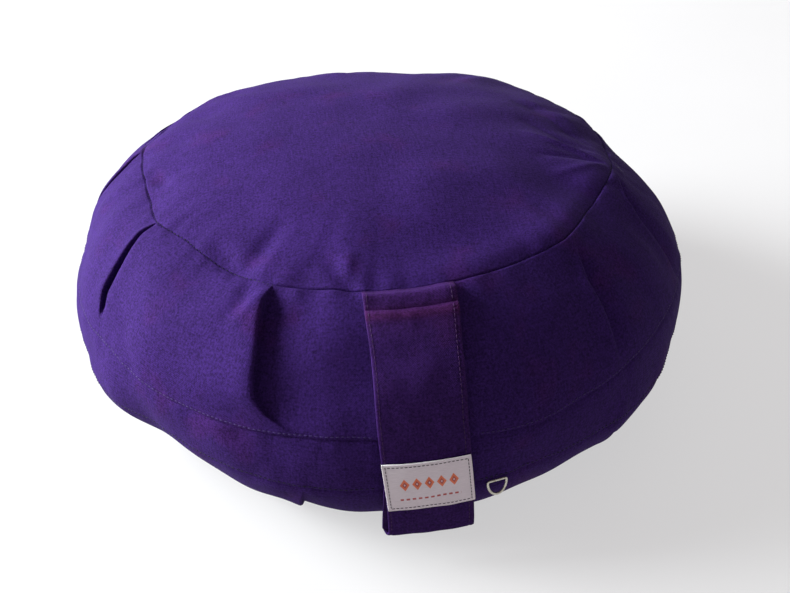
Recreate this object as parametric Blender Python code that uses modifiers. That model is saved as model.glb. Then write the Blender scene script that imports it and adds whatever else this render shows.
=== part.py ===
"""A round zafu meditation cushion: filled body with pleated sides, looped strap, sewn label and a ring.

Metres, +Z up. The origin is the centre of the flat base, and the strap hangs on the -Y side.
Azimuths are in degrees from the strap, positive towards +X.
"""

import math

import bmesh
import bpy
from mathutils import Matrix, Vector
from mathutils.bvhtree import BVHTree

COLLECTION = "zafu_meditation_cushion"
CLEARANCE = 0.0003
RAY_REACH = 0.030

# Body: the driving sizes of the filled cushion
BODY_RADIUS = 0.180
BODY_HEIGHT = 0.149
WAIST_HEIGHT = 0.056
BASE_RADIUS = 0.121
TOP_SEAM_RADIUS = 0.1286
STITCHED_SEAM_HEIGHT = 0.079
FLY_SEAM_HEIGHT = 0.048
BASE_SEAM_HEIGHT = 0.0026
BASE_SEAM_DRAW = 0.0014
BASE_SEAM_WIDTH = 0.0030
CROWN_HEIGHT = BODY_HEIGHT - WAIST_HEIGHT

# The crown follows (r / R) ** ACROSS + (height above the waist / crown height) ** UP = 1
CROWN_ACROSS = 2.58
CROWN_UP = 2.2

# How far each seam is drawn in, and how wide its channel is
TOP_SEAM = (0.0022, 0.0050)
STITCHED_SEAM = (0.0013, 0.0036)
FLY_SEAM = (0.0014, 0.0034)

# The levels of the plain panels, as radii of the top panel and shares of the base's radius
PANEL_RADII = (0.0, 0.028, 0.056, 0.082, 0.103, 0.117)
BASE_PANEL_SHARES = (0.72, 0.36, 0.0)
PANEL_DIP = 0.0008
UPPER_BAND_STEPS = 9
LOWER_BAND_STEPS = 6
MIDDLE_BAND_SHARES = (0.28, 0.52, 0.76)

# Between two pleats the cloth swells out, and the seam has a blunt corner at each pleat. Both are
# less where the pleats stand closer than a full sector.
SECTOR_SWELL = 0.0012
SEAM_CORNER = 0.0020
FULL_SECTOR = 22.0
MIDDLE_SWELL = 0.35
UNDER_SWELL = 0.6

# One row for each pleat: the lip's azimuth at the top seam, at the stitched seam and at the base
# seam, how wide its columns spread where it is closed, and the depth of the fold on the upper side
# and on the underside
PLEATS = (
    # top, foot, base, spread, upper_depth, under_depth
    (-141.0, -138.0, -141.0, 1.0, 0.0068, 0.0034),
    (-106.0, -101.5, -104.0, 1.0, 0.0072, 0.0030),
    (-67.8, -64.2, -66.0, 1.0, 0.0076, 0.0042),
    (-29.6, -25.6, -27.0, 0.8, 0.0088, 0.0036),
    (-12.0, -7.0, -1.0, 0.4, 0.0014, 0.0026),
    (40.4, 35.9, 36.0, 1.0, 0.0050, 0.0030),
    (71.5, 63.6, 66.0, 1.0, 0.0052, 0.0036),
    (105.0, 102.0, 103.0, 1.0, 0.0066, 0.0030),
    (142.0, 140.0, 141.0, 1.0, 0.0060, 0.0038),
    (180.5, 179.0, 180.0, 1.0, 0.0070, 0.0032),
)

# Section across a knife pleat, from left to right as seen from outside. A column's flat place is
# its distance from the lip where the pleat is closed. Its folded place is in fold depths, along
# the surface and out from it.
FOLD_SECTION = (
    # flat_along, folded_along, folded_out
    (-0.0120, -1.55, 0.00),
    (-0.0040, -0.45, 0.22),
    (-0.0012, 0.00, 0.12),
    (0.0006, -0.30, -0.42),
    (0.0030, 0.22, -0.92),
    (0.0105, 1.30, -0.60),
    (0.0220, 2.90, -0.16),
)
COLUMNS_BETWEEN = 5

# Where down a band its pleats have opened, start to close and have closed again
UPPER_OPEN, UPPER_CLOSING, UPPER_CLOSE = 0.42, 0.62, 0.34
UNDER_OPEN, UNDER_CLOSING, UNDER_CLOSE = 0.40, 0.75, 0.25

# Soft lumps and dents of the filling, which fade out towards the flat base
LUMP_FADE_HEIGHT = 0.020
LUMPS = (
    # azimuth, height, reach, push
    (-46.0, 0.028, 0.036, -0.0078),
    (-91.0, 0.088, 0.030, -0.0036),
    (-72.0, 0.060, 0.030, -0.0012),
    (97.0, 0.104, 0.038, -0.0056),
    (176.0, 0.132, 0.058, -0.0042),
    (41.0, 0.036, 0.026, 0.0026),
    (10.0, 0.020, 0.030, 0.0014),
    (-16.0, 0.022, 0.018, 0.0012),
    (128.0, 0.062, 0.040, 0.0020),
    (-140.0, 0.058, 0.040, 0.0016),
)

# Strap: a doubled band of cloth, both its ends sewn into the top seam
STRAP_WIDTH = 0.042
STRAP_THICKNESS = 0.0012
STRAP_TOP_FLARE = 0.0016
STRAP_FLARE_REACH = 0.016
STRAP_FOOT_HEIGHT = 0.0222
STRAP_LAYER_GAP = 0.0005
STRAP_FOOT_OPENING = 0.0012
STRAP_SKEW = 0.0026
STRAP_SKEW_START = 0.70
STRAP_SWAY_HIGH = -0.0012
STRAP_SWAY_LOW = 0.0022
STRAP_SWAY_HEIGHTS = (0.025, 0.095)
STRAP_TOUCH_SHARES = (-1.05, -0.8, -0.5, -0.25, 0.0, 0.25, 0.5, 0.8, 1.05)
STRAP_RIDGE = 0.0011
STRAP_RIDGE_DOWN = 0.0100
STRAP_RIDGE_REACH = 0.0050
STRAP_ACROSS_STEPS = 4
STRAP_DOWN_STEPS = 16
STRAP_HANG_STEPS = 5
STRAP_FOLD_STEPS = 6

# Label: a woven patch over the strap's full width
LABEL_WIDTH = 0.042
LABEL_HEIGHT = 0.0284
LABEL_THICKNESS = 0.0010
LABEL_MIDDLE_HEIGHT = 0.0561
LABEL_TURN = 1.6
LABEL_INSET = 0.9

# Ring: a D of wire, its straight side up under the fly seam
RING_WIDTH = 0.0110
RING_HEIGHT = 0.0096
RING_WIRE = 0.00125
RING_AZIMUTH = 11.0
RING_BAR_HEIGHT = 0.0448
RING_LEAN = 9.0
RING_ARC_STEPS = 14


def mix(low, high, share):
    """Goes from low to high."""
    return low + (high - low) * share


def smooth(share):
    """Eases from 0 to 1."""
    share = min(max(share, 0.0), 1.0)
    return share * share * (3 - 2 * share)


def crown_height(radius):
    """Height of the plain crown at a radius."""
    return WAIST_HEIGHT + CROWN_HEIGHT * (1 - (radius / BODY_RADIUS) ** CROWN_ACROSS) ** (1 / CROWN_UP)


def side_radius(height):
    """Radius of the plain body at a height."""
    if height >= WAIST_HEIGHT:
        share = (height - WAIST_HEIGHT) / CROWN_HEIGHT
        return BODY_RADIUS * (1 - share**CROWN_UP) ** (1 / CROWN_ACROSS)
    share = (WAIST_HEIGHT - height) / WAIST_HEIGHT
    return mix(BASE_RADIUS, BODY_RADIUS, math.sqrt(1 - share**2))


def side_point(azimuth, radius, height):
    """Point at an azimuth from the strap, a radius and a height."""
    angle = math.radians(azimuth)
    return Vector((radius * math.sin(angle), -radius * math.cos(angle), height))


class Level:
    """One level of the body: its place on the plain profile, and what the sewing does to it there."""

    def __init__(self, radius, height, draw=0.0, upper=0.0, under=0.0, swell=0.0, lean=0.0, corner=0.0):
        self.radius = radius
        self.height = height
        self.draw = draw
        self.upper = upper
        self.under = under
        self.swell = swell
        self.lean = lean
        self.corner = corner
        self.outward = (0.0, 1.0)


def panel_levels():
    """The round top panel, from its centre to its seam."""
    levels = []
    for radius in PANEL_RADII:
        near_seam = smooth((radius - PANEL_RADII[2]) / (TOP_SEAM_RADIUS - PANEL_RADII[2]))
        levels.append(Level(radius, crown_height(radius), draw=PANEL_DIP * near_seam, corner=near_seam))
    return levels


def seam_levels(radius, height, seam, **shares):
    """Three levels across a drawn-in seam, whose channel is narrower than the cloth beside it."""
    draw, width = seam
    step = 0.0001
    slope = Vector((side_radius(height - step) - side_radius(height + step), -2 * step)).normalized()
    return [
        Level(radius + slope.x * width * side, height + slope.y * width * side, draw * share, **shares)
        for side, share in ((-0.5, 0.1), (0.0, 1.0), (0.5, 0.1))
    ]


def crown_angle(height):
    """The crown's own angle at a height: 0 at the waist, a quarter turn at the top."""
    return math.asin(((height - WAIST_HEIGHT) / CROWN_HEIGHT) ** (CROWN_UP / 2))


def crown_place(angle):
    """Radius and height on the plain crown at one of its own angles."""
    radius = BODY_RADIUS * math.cos(angle) ** (2 / CROWN_ACROSS)
    return radius, WAIST_HEIGHT + CROWN_HEIGHT * math.sin(angle) ** (2 / CROWN_UP)


def upper_band_levels():
    """The pleated upper side. The pleats open below the top seam and close above the next one."""
    levels = []
    first = crown_angle(crown_height(TOP_SEAM_RADIUS))
    last = crown_angle(STITCHED_SEAM_HEIGHT)
    for step in range(1, UPPER_BAND_STEPS):
        down = step / UPPER_BAND_STEPS
        radius, height = crown_place(mix(first, last, down))
        levels.append(
            Level(
                radius,
                height,
                upper=smooth(down / UPPER_OPEN) * (1 - smooth((down - UPPER_CLOSING) / UPPER_CLOSE)),
                swell=math.sin(math.pi * down),
                lean=down,
                corner=(1 - down) ** 2,
            )
        )
    return levels


def middle_band_levels():
    """The plain band round the waist, between the stitched seam and the fly seam."""
    return [
        Level(side_radius(height), height, lean=1.0, swell=MIDDLE_SWELL)
        for height in (mix(STITCHED_SEAM_HEIGHT, FLY_SEAM_HEIGHT, share) for share in MIDDLE_BAND_SHARES)
    ]


def lower_band_levels():
    """The pleated underside, from the fly seam down to the base."""
    levels = []
    first = math.asin((WAIST_HEIGHT - FLY_SEAM_HEIGHT) / WAIST_HEIGHT)
    last = math.asin((WAIST_HEIGHT - BASE_SEAM_HEIGHT) / WAIST_HEIGHT)
    for step in range(1, LOWER_BAND_STEPS):
        down = step / LOWER_BAND_STEPS
        angle = mix(first, last, down)
        levels.append(
            Level(
                mix(BASE_RADIUS, BODY_RADIUS, math.cos(angle)),
                WAIST_HEIGHT * (1 - math.sin(angle)),
                under=smooth(down / UNDER_OPEN) * (1 - smooth((down - UNDER_CLOSING) / UNDER_CLOSE)),
                swell=UNDER_SWELL * math.sin(math.pi * down),
                lean=1.0 + down,
            )
        )
    return levels


def base_levels():
    """The base seam and the flat base panel, which lies on the floor."""
    levels = [
        Level(side_radius(BASE_SEAM_HEIGHT), BASE_SEAM_HEIGHT, lean=2.0),
        Level(BASE_RADIUS - BASE_SEAM_DRAW, BASE_SEAM_HEIGHT / 2, lean=2.0),
        Level(BASE_RADIUS - BASE_SEAM_WIDTH, 0.0, lean=2.0),
    ]
    return levels + [Level(BASE_RADIUS * share, 0.0, lean=2.0) for share in BASE_PANEL_SHARES]


def body_levels():
    """All the levels from the crown's centre down to the base's centre, with their outward directions."""
    levels = panel_levels()
    levels += seam_levels(TOP_SEAM_RADIUS, crown_height(TOP_SEAM_RADIUS), TOP_SEAM, corner=1.0)
    levels += upper_band_levels()
    levels += seam_levels(side_radius(STITCHED_SEAM_HEIGHT), STITCHED_SEAM_HEIGHT, STITCHED_SEAM, lean=1.0)
    levels += middle_band_levels()
    levels += seam_levels(side_radius(FLY_SEAM_HEIGHT), FLY_SEAM_HEIGHT, FLY_SEAM, lean=1.0)
    levels += lower_band_levels()
    levels += base_levels()
    for above, level, below in zip(levels, levels[1:], levels[2:]):
        along = Vector((below.radius - above.radius, below.height - above.height)).normalized()
        level.outward = (-along.y, along.x)
    return levels


def lip_azimuth(pleat, lean):
    """Azimuth of a pleat's lip on a level: lean 0 at the top seam, 1 at the waist, 2 at the base."""
    top, foot, base = pleat[:3]
    return mix(top, foot, lean) if lean <= 1.0 else mix(foot, base, lean - 1.0)


def fold_places(pleat, level):
    """Azimuth and push of each column of a pleat on a level."""
    spread, upper_depth, under_depth = pleat[3:]
    depth = upper_depth * level.upper + under_depth * level.under
    opening = max(level.upper, level.under)
    lip = lip_azimuth(pleat, level.lean)
    reach = max(level.radius, TOP_SEAM_RADIUS * 0.8)
    places = []
    for flat_along, folded_along, folded_out in FOLD_SECTION:
        along = mix(flat_along * spread, folded_along * depth, opening)
        places.append((lip + math.degrees(along / reach), folded_out * depth))
    return places


def level_places(level):
    """Azimuth and push of every column on a level, once round."""
    folds = [fold_places(pleat, level) for pleat in PLEATS]
    places = []
    for index, fold in enumerate(folds):
        after = folds[(index + 1) % len(folds)]
        turn = 360.0 if index + 1 == len(folds) else 0.0
        places += fold
        low_azimuth, low_push = fold[-1]
        high_azimuth, high_push = after[0]
        span = high_azimuth + turn - low_azimuth
        crest = (SECTOR_SWELL * level.swell - SEAM_CORNER * level.corner) * min(span / FULL_SECTOR, 1.0)
        for step in range(1, COLUMNS_BETWEEN + 1):
            share = step / (COLUMNS_BETWEEN + 1)
            push = mix(low_push, high_push, share) + crest * math.sin(math.pi * share)
            places.append((mix(low_azimuth, low_azimuth + span, share), push))
    return places


def lump_push(point):
    """How far the filling's lumps and dents push a point outwards."""
    push = 0.0
    for azimuth, height, reach, amount in LUMPS:
        radius = side_radius(height)
        distance = (point - side_point(azimuth, radius, height)).length
        push += amount * math.exp(-((distance / reach) ** 2))
    return push


def body_point(level, azimuth, push):
    """Point of the finished body on a level."""
    plain = side_point(azimuth, level.radius, level.height)
    if level.height == 0.0 or level.radius == 0.0:
        return plain
    out = push - level.draw + lump_push(plain) * smooth(level.height / LUMP_FADE_HEIGHT)
    across, up = level.outward
    point = side_point(azimuth, level.radius + out * across, level.height + out * up)
    point.z = max(point.z, BASE_SEAM_HEIGHT / 2)
    return point


def evaluated_mesh(thing):
    """A mesh of an object as its modifiers leave it."""
    graph = bpy.context.evaluated_depsgraph_get()
    graph.update()
    return bpy.data.meshes.new_from_object(thing.evaluated_get(graph))


def turned_blank(name, levels, columns):
    """The plain turned body: its profile carried round by a Screw modifier."""
    profile = bpy.data.meshes.new(name + "_profile")
    corners = [(level.radius, 0.0, level.height) for level in levels]
    profile.from_pydata(corners, [(index, index + 1) for index in range(len(corners) - 1)], [])
    guide = bpy.data.objects.new(name + "_profile", profile)
    bpy.context.scene.collection.objects.link(guide)
    screw = guide.modifiers.new("turn", "SCREW")
    screw.axis = "Z"
    screw.angle = math.tau
    screw.steps = columns
    screw.render_steps = columns
    screw.use_merge_vertices = True
    screw.merge_threshold = 0.00001
    mesh = evaluated_mesh(guide)
    mesh.name = name
    bpy.data.objects.remove(guide)
    return mesh


def make_cushion():
    """The filled cushion: a turned blank whose columns are moved into the pleats."""
    levels = body_levels()
    places = [level_places(level) for level in levels]
    columns = len(places[0])
    mesh = turned_blank("cushion", levels, columns)
    for vertex in mesh.vertices:
        radius = math.hypot(vertex.co.x, vertex.co.y)
        nearest = min(
            range(len(levels)),
            key=lambda index: math.hypot(levels[index].radius - radius, levels[index].height - vertex.co.z),
        )
        turn = math.atan2(vertex.co.y, vertex.co.x) / math.tau
        azimuth, push = places[nearest][round(turn * columns) % columns]
        vertex.co = body_point(levels[nearest], azimuth, push)
    return add_object("cushion", mesh)


def surface_tree(thing):
    """Search tree of an object's surface, to lay another piece on it."""
    graph = bpy.context.evaluated_depsgraph_get()
    graph.update()
    return BVHTree.FromObject(thing, graph)


def standoff(tree, azimuth, radius, height, outward):
    """How far a surface stands out from a place on the plain profile, along its outward direction."""
    across, up = outward
    start = side_point(azimuth, radius + RAY_REACH * across, height + RAY_REACH * up)
    direction = side_point(azimuth, -across, -up)
    hit = tree.ray_cast(start, direction)[0]
    return RAY_REACH - (hit - start).length


def strap_sway(height):
    """How far the strap has swung sideways at a height, for it doesn't hang quite plumb."""
    low, high = STRAP_SWAY_HEIGHTS
    return mix(STRAP_SWAY_LOW, STRAP_SWAY_HIGH, smooth((height - low) / (high - low)))


def neighbours(values, step):
    """A value with the ones before and after it."""
    return values[max(step - 1, 0) : step + 2]


def average(values):
    """The mean of some values."""
    return sum(values) / len(values)


class StrapPath:
    """The way a strap layer takes down the cushion's side, as radius and height at each step."""

    def __init__(self, cushion):
        tree = surface_tree(cushion)
        self.places = []
        first = crown_angle(crown_height(TOP_SEAM_RADIUS))
        proud = []
        for step in range(STRAP_DOWN_STEPS + 1):
            radius, height = crown_place(first * (1 - step / STRAP_DOWN_STEPS))
            slope_out = (radius / BODY_RADIUS) ** (CROWN_ACROSS - 1) * CROWN_ACROSS / BODY_RADIUS
            slope_up = ((height - WAIST_HEIGHT) / CROWN_HEIGHT) ** (CROWN_UP - 1) * CROWN_UP / CROWN_HEIGHT
            outward = Vector((slope_out, slope_up)).normalized()
            half_angle = math.degrees(0.5 * STRAP_WIDTH / radius)
            self.places.append((radius, height, outward))
            proud.append(
                max(
                    standoff(tree, half_angle * share, radius, height, outward)
                    for share in STRAP_TOUCH_SHARES
                )
            )
        widest = [max(neighbours(proud, step)) for step in range(len(proud))]
        self.proud = [average(neighbours(widest, step)) for step in range(len(widest))]

    def layer(self, offset, front):
        """Points of one layer down the side and then straight down to the fold."""
        points = []
        seam = Vector(self.places[0][:2])
        ridge = STRAP_RIDGE if front else 0.0
        for (radius, height, outward), proud in zip(self.places, self.proud):
            plain = Vector((radius, height))
            beyond = ((plain - seam).length - STRAP_RIDGE_DOWN) / STRAP_RIDGE_REACH
            points.append(plain + outward * (proud + CLEARANCE + offset + ridge * math.exp(-(beyond**2))))
        hang_radius = max(point.x for point in points)
        waist = points[-1].y
        bend = (STRAP_THICKNESS + STRAP_LAYER_GAP + STRAP_FOOT_OPENING) / 2
        foot = STRAP_FOOT_HEIGHT + STRAP_THICKNESS / 2 + bend
        for step in range(1, STRAP_HANG_STEPS + 1):
            down = step / STRAP_HANG_STEPS
            open_out = STRAP_FOOT_OPENING * smooth(down) if front else 0.0
            points.append(Vector((hang_radius + open_out, mix(waist, foot, down))))
        return points

    def loop(self):
        """The whole way of the band: down the back layer, round the fold, up the front layer."""
        back = self.layer(STRAP_THICKNESS / 2, front=False)
        front = self.layer(STRAP_THICKNESS * 1.5 + STRAP_LAYER_GAP, front=True)
        centre = (back[-1] + front[-1]) / 2
        bend = (front[-1].x - back[-1].x) / 2
        fold = []
        for step in range(1, STRAP_FOLD_STEPS):
            angle = math.pi * step / STRAP_FOLD_STEPS
            fold.append(Vector((centre.x - bend * math.cos(angle), centre.y - bend * math.sin(angle))))
        downs = [step / (len(back) - 1) for step in range(len(back))]
        skews = [-STRAP_SKEW * smooth((down - STRAP_SKEW_START) / (1 - STRAP_SKEW_START)) for down in downs]
        skews += [mix(-STRAP_SKEW, 0.0, step / STRAP_FOLD_STEPS) for step in range(1, STRAP_FOLD_STEPS)]
        skews += [0.0] * len(front)
        return back + fold + front[::-1], skews


def sheet_grid(name, across_steps, down_steps, place):
    """An open sheet: a flat grid whose points go where place(across, down) says, both from 0 to 1."""
    shape = bmesh.new()
    bmesh.ops.create_grid(shape, x_segments=across_steps, y_segments=down_steps, size=0.5)
    for vertex in shape.verts:
        vertex.co = place(vertex.co.x + 0.5, vertex.co.y + 0.5)
    mesh = bpy.data.meshes.new(name)
    shape.to_mesh(mesh)
    shape.free()
    return mesh


def give_thickness(thing, thickness):
    """Makes an open sheet a closed one, half its thickness to each side."""
    solid = thing.modifiers.new("cloth", "SOLIDIFY")
    solid.thickness = thickness
    solid.offset = 0.0
    solid.use_even_offset = True
    solid.use_quality_normals = True


def make_strap(cushion):
    """The looped strap, which hangs from the top seam over the waist and clear of the floor."""
    points, skews = StrapPath(cushion).loop()
    last = len(points) - 1
    seam = crown_height(TOP_SEAM_RADIUS)

    def place(across, down):
        """Point of the band across its width and along its way."""
        step = round(down * last)
        radius, height = points[step]
        width = STRAP_WIDTH + STRAP_TOP_FLARE * smooth(1 - (seam - height) / STRAP_FLARE_REACH)
        sideways = (across - 0.5) * width + skews[step] + strap_sway(height)
        return side_point(math.degrees(sideways / radius), radius, height)

    strap = add_object("strap", sheet_grid("strap", STRAP_ACROSS_STEPS, last, place))
    give_thickness(strap, STRAP_THICKNESS)
    return strap


def make_label(strap):
    """The woven label on the front layer of the strap."""
    tree = surface_tree(strap)
    turn = Matrix.Rotation(math.radians(LABEL_TURN), 2)

    def place(across, down):
        """Point of the label, laid on the strap."""
        flat = turn @ Vector(((across - 0.5) * LABEL_WIDTH, (down - 0.5) * LABEL_HEIGHT))
        height = LABEL_MIDDLE_HEIGHT + flat.y
        sway = strap_sway(height)
        inside = math.degrees((LABEL_INSET * flat.x + sway) / BODY_RADIUS)
        proud = standoff(tree, inside, BODY_RADIUS, height, (1.0, 0.0))
        radius = BODY_RADIUS + proud + CLEARANCE + LABEL_THICKNESS / 2
        return side_point(math.degrees((flat.x + sway) / radius), radius, height)

    label = add_object("label", sheet_grid("label", 4, 3, place))
    give_thickness(label, LABEL_THICKNESS)
    return label


def ring_outline():
    """Points of the D: a straight side along the top, rounded corners and a half round below."""
    half = RING_WIDTH / 2 - RING_WIRE / 2
    drop = RING_HEIGHT - RING_WIRE
    corner = 0.0009
    points = [(-half + corner, 0.0), (0.0, 0.0), (half - corner, 0.0)]
    points.append((half - corner * 0.29, -corner * 0.29))
    for step in range(RING_ARC_STEPS + 1):
        angle = math.pi * step / RING_ARC_STEPS
        points.append((half * math.cos(angle), -corner - (drop - corner) * math.sin(angle)))
    points.append((-half + corner * 0.29, -corner * 0.29))
    return points


def make_ring(cushion):
    """The small D of wire that hangs against the cushion just below the fly seam."""
    curve = bpy.data.curves.new("ring", "CURVE")
    curve.dimensions = "3D"
    curve.bevel_depth = RING_WIRE / 2
    curve.bevel_resolution = 2
    outline = ring_outline()
    spline = curve.splines.new("POLY")
    spline.points.add(len(outline) - 1)
    for point, (across, up) in zip(spline.points, outline):
        point.co = (across, 0.0, up, 1.0)
    spline.use_cyclic_u = True
    tree = surface_tree(cushion)
    half_angle = math.degrees(0.5 * RING_WIDTH / BODY_RADIUS)
    radius = BODY_RADIUS + max(
        standoff(tree, RING_AZIMUTH + half_angle * share, BODY_RADIUS, RING_BAR_HEIGHT + rise, (1.0, 0.0))
        for share in (-1.0, 0.0, 1.0)
        for rise in (-RING_WIRE, 0.0, RING_WIRE)
    )
    ring = add_object("ring", curve)
    ring.location = side_point(RING_AZIMUTH, radius + CLEARANCE + RING_WIRE / 2, RING_BAR_HEIGHT)
    ring.rotation_euler = (math.radians(-RING_LEAN), 0.0, math.radians(RING_AZIMUTH))
    return ring


def add_object(name, data):
    """Adds a named object to the cushion's collection."""
    thing = bpy.data.objects.new(name, data)
    bpy.data.collections[COLLECTION].objects.link(thing)
    return thing


def give_material(thing, name, color, roughness, metallic=0.0, sheen=0.0):
    """Gives an object its own plain finish. The colour is linear red, green and blue."""
    material = bpy.data.materials.new(name)
    material.use_nodes = True
    finish = material.node_tree.nodes["Principled BSDF"]
    finish.inputs["Base Color"].default_value = (*color, 1.0)
    finish.inputs["Roughness"].default_value = roughness
    finish.inputs["Metallic"].default_value = metallic
    finish.inputs["Sheen Weight"].default_value = sheen
    thing.data.materials.append(material)


def shade(thing):
    """Shades a mesh smooth but for its real edges."""
    thing.data.shade_smooth()
    thing.data.set_sharp_from_angle(angle=math.radians(40))


def main():
    """Builds the cushion, its strap, label and ring."""
    for thing in list(bpy.data.objects):
        bpy.data.objects.remove(thing)
    collection = bpy.data.collections.new(COLLECTION)
    bpy.context.scene.collection.children.link(collection)

    cushion = make_cushion()
    strap = make_strap(cushion)
    label = make_label(strap)
    ring = make_ring(cushion)

    give_material(cushion, "purple_cotton", (0.060, 0.026, 0.200), roughness=0.9, sheen=0.3)
    give_material(strap, "purple_band", (0.052, 0.022, 0.170), roughness=0.8, sheen=0.3)
    give_material(label, "label_satin", (0.62, 0.62, 0.66), roughness=0.5)
    give_material(ring, "ring_nickel", (0.78, 0.77, 0.75), roughness=0.25, metallic=1.0)
    for thing in (cushion, strap, label):
        shade(thing)


main()
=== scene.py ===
"""Looks for a round zafu meditation cushion in purple cotton, with its hanging strap, label and pull ring.

Metres, +Z up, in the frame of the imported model. Azimuths are in degrees from the strap, which hangs
at -Y, and grow towards +X. A distance down is measured over the plain form from the middle of the
crown. A share down a band is 0 at its upper seam and 1 at its lower one.
"""

import logging
import math
from dataclasses import dataclass, field
from enum import Enum

import bpy
import numpy as np
from mathutils import Matrix, Vector

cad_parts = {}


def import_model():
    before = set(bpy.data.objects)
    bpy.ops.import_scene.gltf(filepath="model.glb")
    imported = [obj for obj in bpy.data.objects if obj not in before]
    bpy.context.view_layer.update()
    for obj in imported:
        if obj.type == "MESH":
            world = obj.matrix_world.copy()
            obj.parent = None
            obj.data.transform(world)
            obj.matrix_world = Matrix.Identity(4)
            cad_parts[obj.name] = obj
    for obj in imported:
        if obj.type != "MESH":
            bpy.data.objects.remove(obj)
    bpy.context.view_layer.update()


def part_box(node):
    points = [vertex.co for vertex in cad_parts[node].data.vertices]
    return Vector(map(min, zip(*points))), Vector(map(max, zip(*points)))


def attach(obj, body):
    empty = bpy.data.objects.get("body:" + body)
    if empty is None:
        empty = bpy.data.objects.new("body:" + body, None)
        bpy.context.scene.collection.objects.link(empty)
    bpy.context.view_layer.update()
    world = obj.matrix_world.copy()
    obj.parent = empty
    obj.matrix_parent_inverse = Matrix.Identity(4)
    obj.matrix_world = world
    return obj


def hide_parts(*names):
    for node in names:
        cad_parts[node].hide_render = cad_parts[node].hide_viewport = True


LOG = logging.getLogger("zafu")
SEED = 20
# Points of the form's line: those of the top panel, and the steep part of the side that the strap lies on
PANEL_POINTS = 500
SIDE_OF_LINE = slice(400, 1600)


def smooth(share: np.ndarray) -> np.ndarray:
    """Eases from 0 to 1: three times the square less twice the cube of the share, held to 0 to 1.

    Args:
        share: Values to ease.

    Returns:
        The eased values, in the same shape.
    """
    held = np.clip(share, 0.0, 1.0)
    return held * held * (3.0 - 2.0 * held)


def bell(distance: np.ndarray, reach: float) -> np.ndarray:
    """A bell curve: e to the power of minus the square of distance over reach."""
    return np.exp(-((distance / reach) ** 2))


def around(azimuth: np.ndarray, radius: np.ndarray, height: np.ndarray) -> np.ndarray:
    """Points at an azimuth from the strap, a radius and a height.

    Args:
        azimuth: Degrees from the strap.
        radius: Distance from the upright axis.
        height: Height over the floor.

    Returns:
        Points, as (radius sin azimuth, minus radius cos azimuth, height), on a last axis of three.
    """
    angle = np.radians(azimuth)
    return np.stack(np.broadcast_arrays(radius * np.sin(angle), -radius * np.cos(angle), height), axis=-1)


def rounded_line(corners: tuple, steps: int = 14) -> np.ndarray:
    """A smooth line through control points, by cubic pieces whose slopes come from the neighbours.

    Between points b and c, with a before and d after, the line at t is half of
    (2b + (c - a)t + (2a - 5b + 4c - d)t^2 + (3b - a - 3c + d)t^3).

    Args:
        corners: The control points, one row each.
        steps: Steps in each piece.

    Returns:
        The points of the line, one row each.
    """
    points = np.array(corners, float)
    padded = np.vstack([2 * points[0] - points[1], points, 2 * points[-1] - points[-2]])
    share = np.linspace(0.0, 1.0, steps, endpoint=False)[None, :, None]
    a, b, c, d = (padded[first : len(padded) - 3 + first, None, :] for first in range(4))
    line = 2 * b + (c - a) * share + (2 * a - 5 * b + 4 * c - d) * share**2
    line = 0.5 * (line + (3 * b - a - 3 * c + d) * share**3)
    return np.vstack([line.reshape(-1, points.shape[1]), points[-1]])


def unit(vectors: np.ndarray) -> np.ndarray:
    """Vectors scaled to a length of one."""
    return vectors / np.maximum(np.linalg.norm(vectors, axis=-1, keepdims=True), 1e-12)


def lookup(at: np.ndarray, known: np.ndarray, table: np.ndarray) -> tuple:
    """Each column of a table, interpolated at the same places."""
    return tuple(np.interp(at, known, table[:, axis]) for axis in range(table.shape[1]))


def round_table(table: tuple, azimuth: np.ndarray) -> np.ndarray:
    """Values at some azimuths, from a table of (azimuth, value) that closes on itself."""
    places, values = np.array(table, float).T
    return np.interp(azimuth, places, values, period=360.0)


def azimuth_of(points: np.ndarray) -> np.ndarray:
    """Degrees from the strap of some points."""
    return np.degrees(np.arctan2(points[..., 0], -points[..., 1]))


def grid_faces(rows: int, columns: int, ring: bool = True, tube: bool = False) -> np.ndarray:
    """Four-cornered faces of a grid of points.

    Args:
        rows: Rows of points.
        columns: Points in each row.
        ring: Whether each row closes on itself.
        tube: Whether the last row joins the first.

    Returns:
        Four point numbers for each face.
    """
    counts = (np.arange(rows if tube else rows - 1), np.arange(columns if ring else columns - 1))
    row, column = (part.ravel() for part in np.meshgrid(*counts, indexing="ij"))
    here, below, beside = row * columns, (row + 1) % rows * columns, (column + 1) % columns
    return np.stack([here + column, below + column, below + beside, here + beside], 1)


def smooth_mesh(name: str, points: np.ndarray, faces: list) -> bpy.types.Mesh:
    """A smoothly shaded mesh of some points and the faces between them."""
    mesh = bpy.data.meshes.new(name)
    mesh.from_pydata(points.reshape(-1, 3).tolist(), [], faces)
    mesh.shade_smooth()
    return mesh


def in_scene(name: str, data: bpy.types.ID) -> bpy.types.Object:
    """A new object of some data, linked to the scene."""
    made = bpy.data.objects.new(name, data)
    bpy.context.scene.collection.objects.link(made)
    return made


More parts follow.
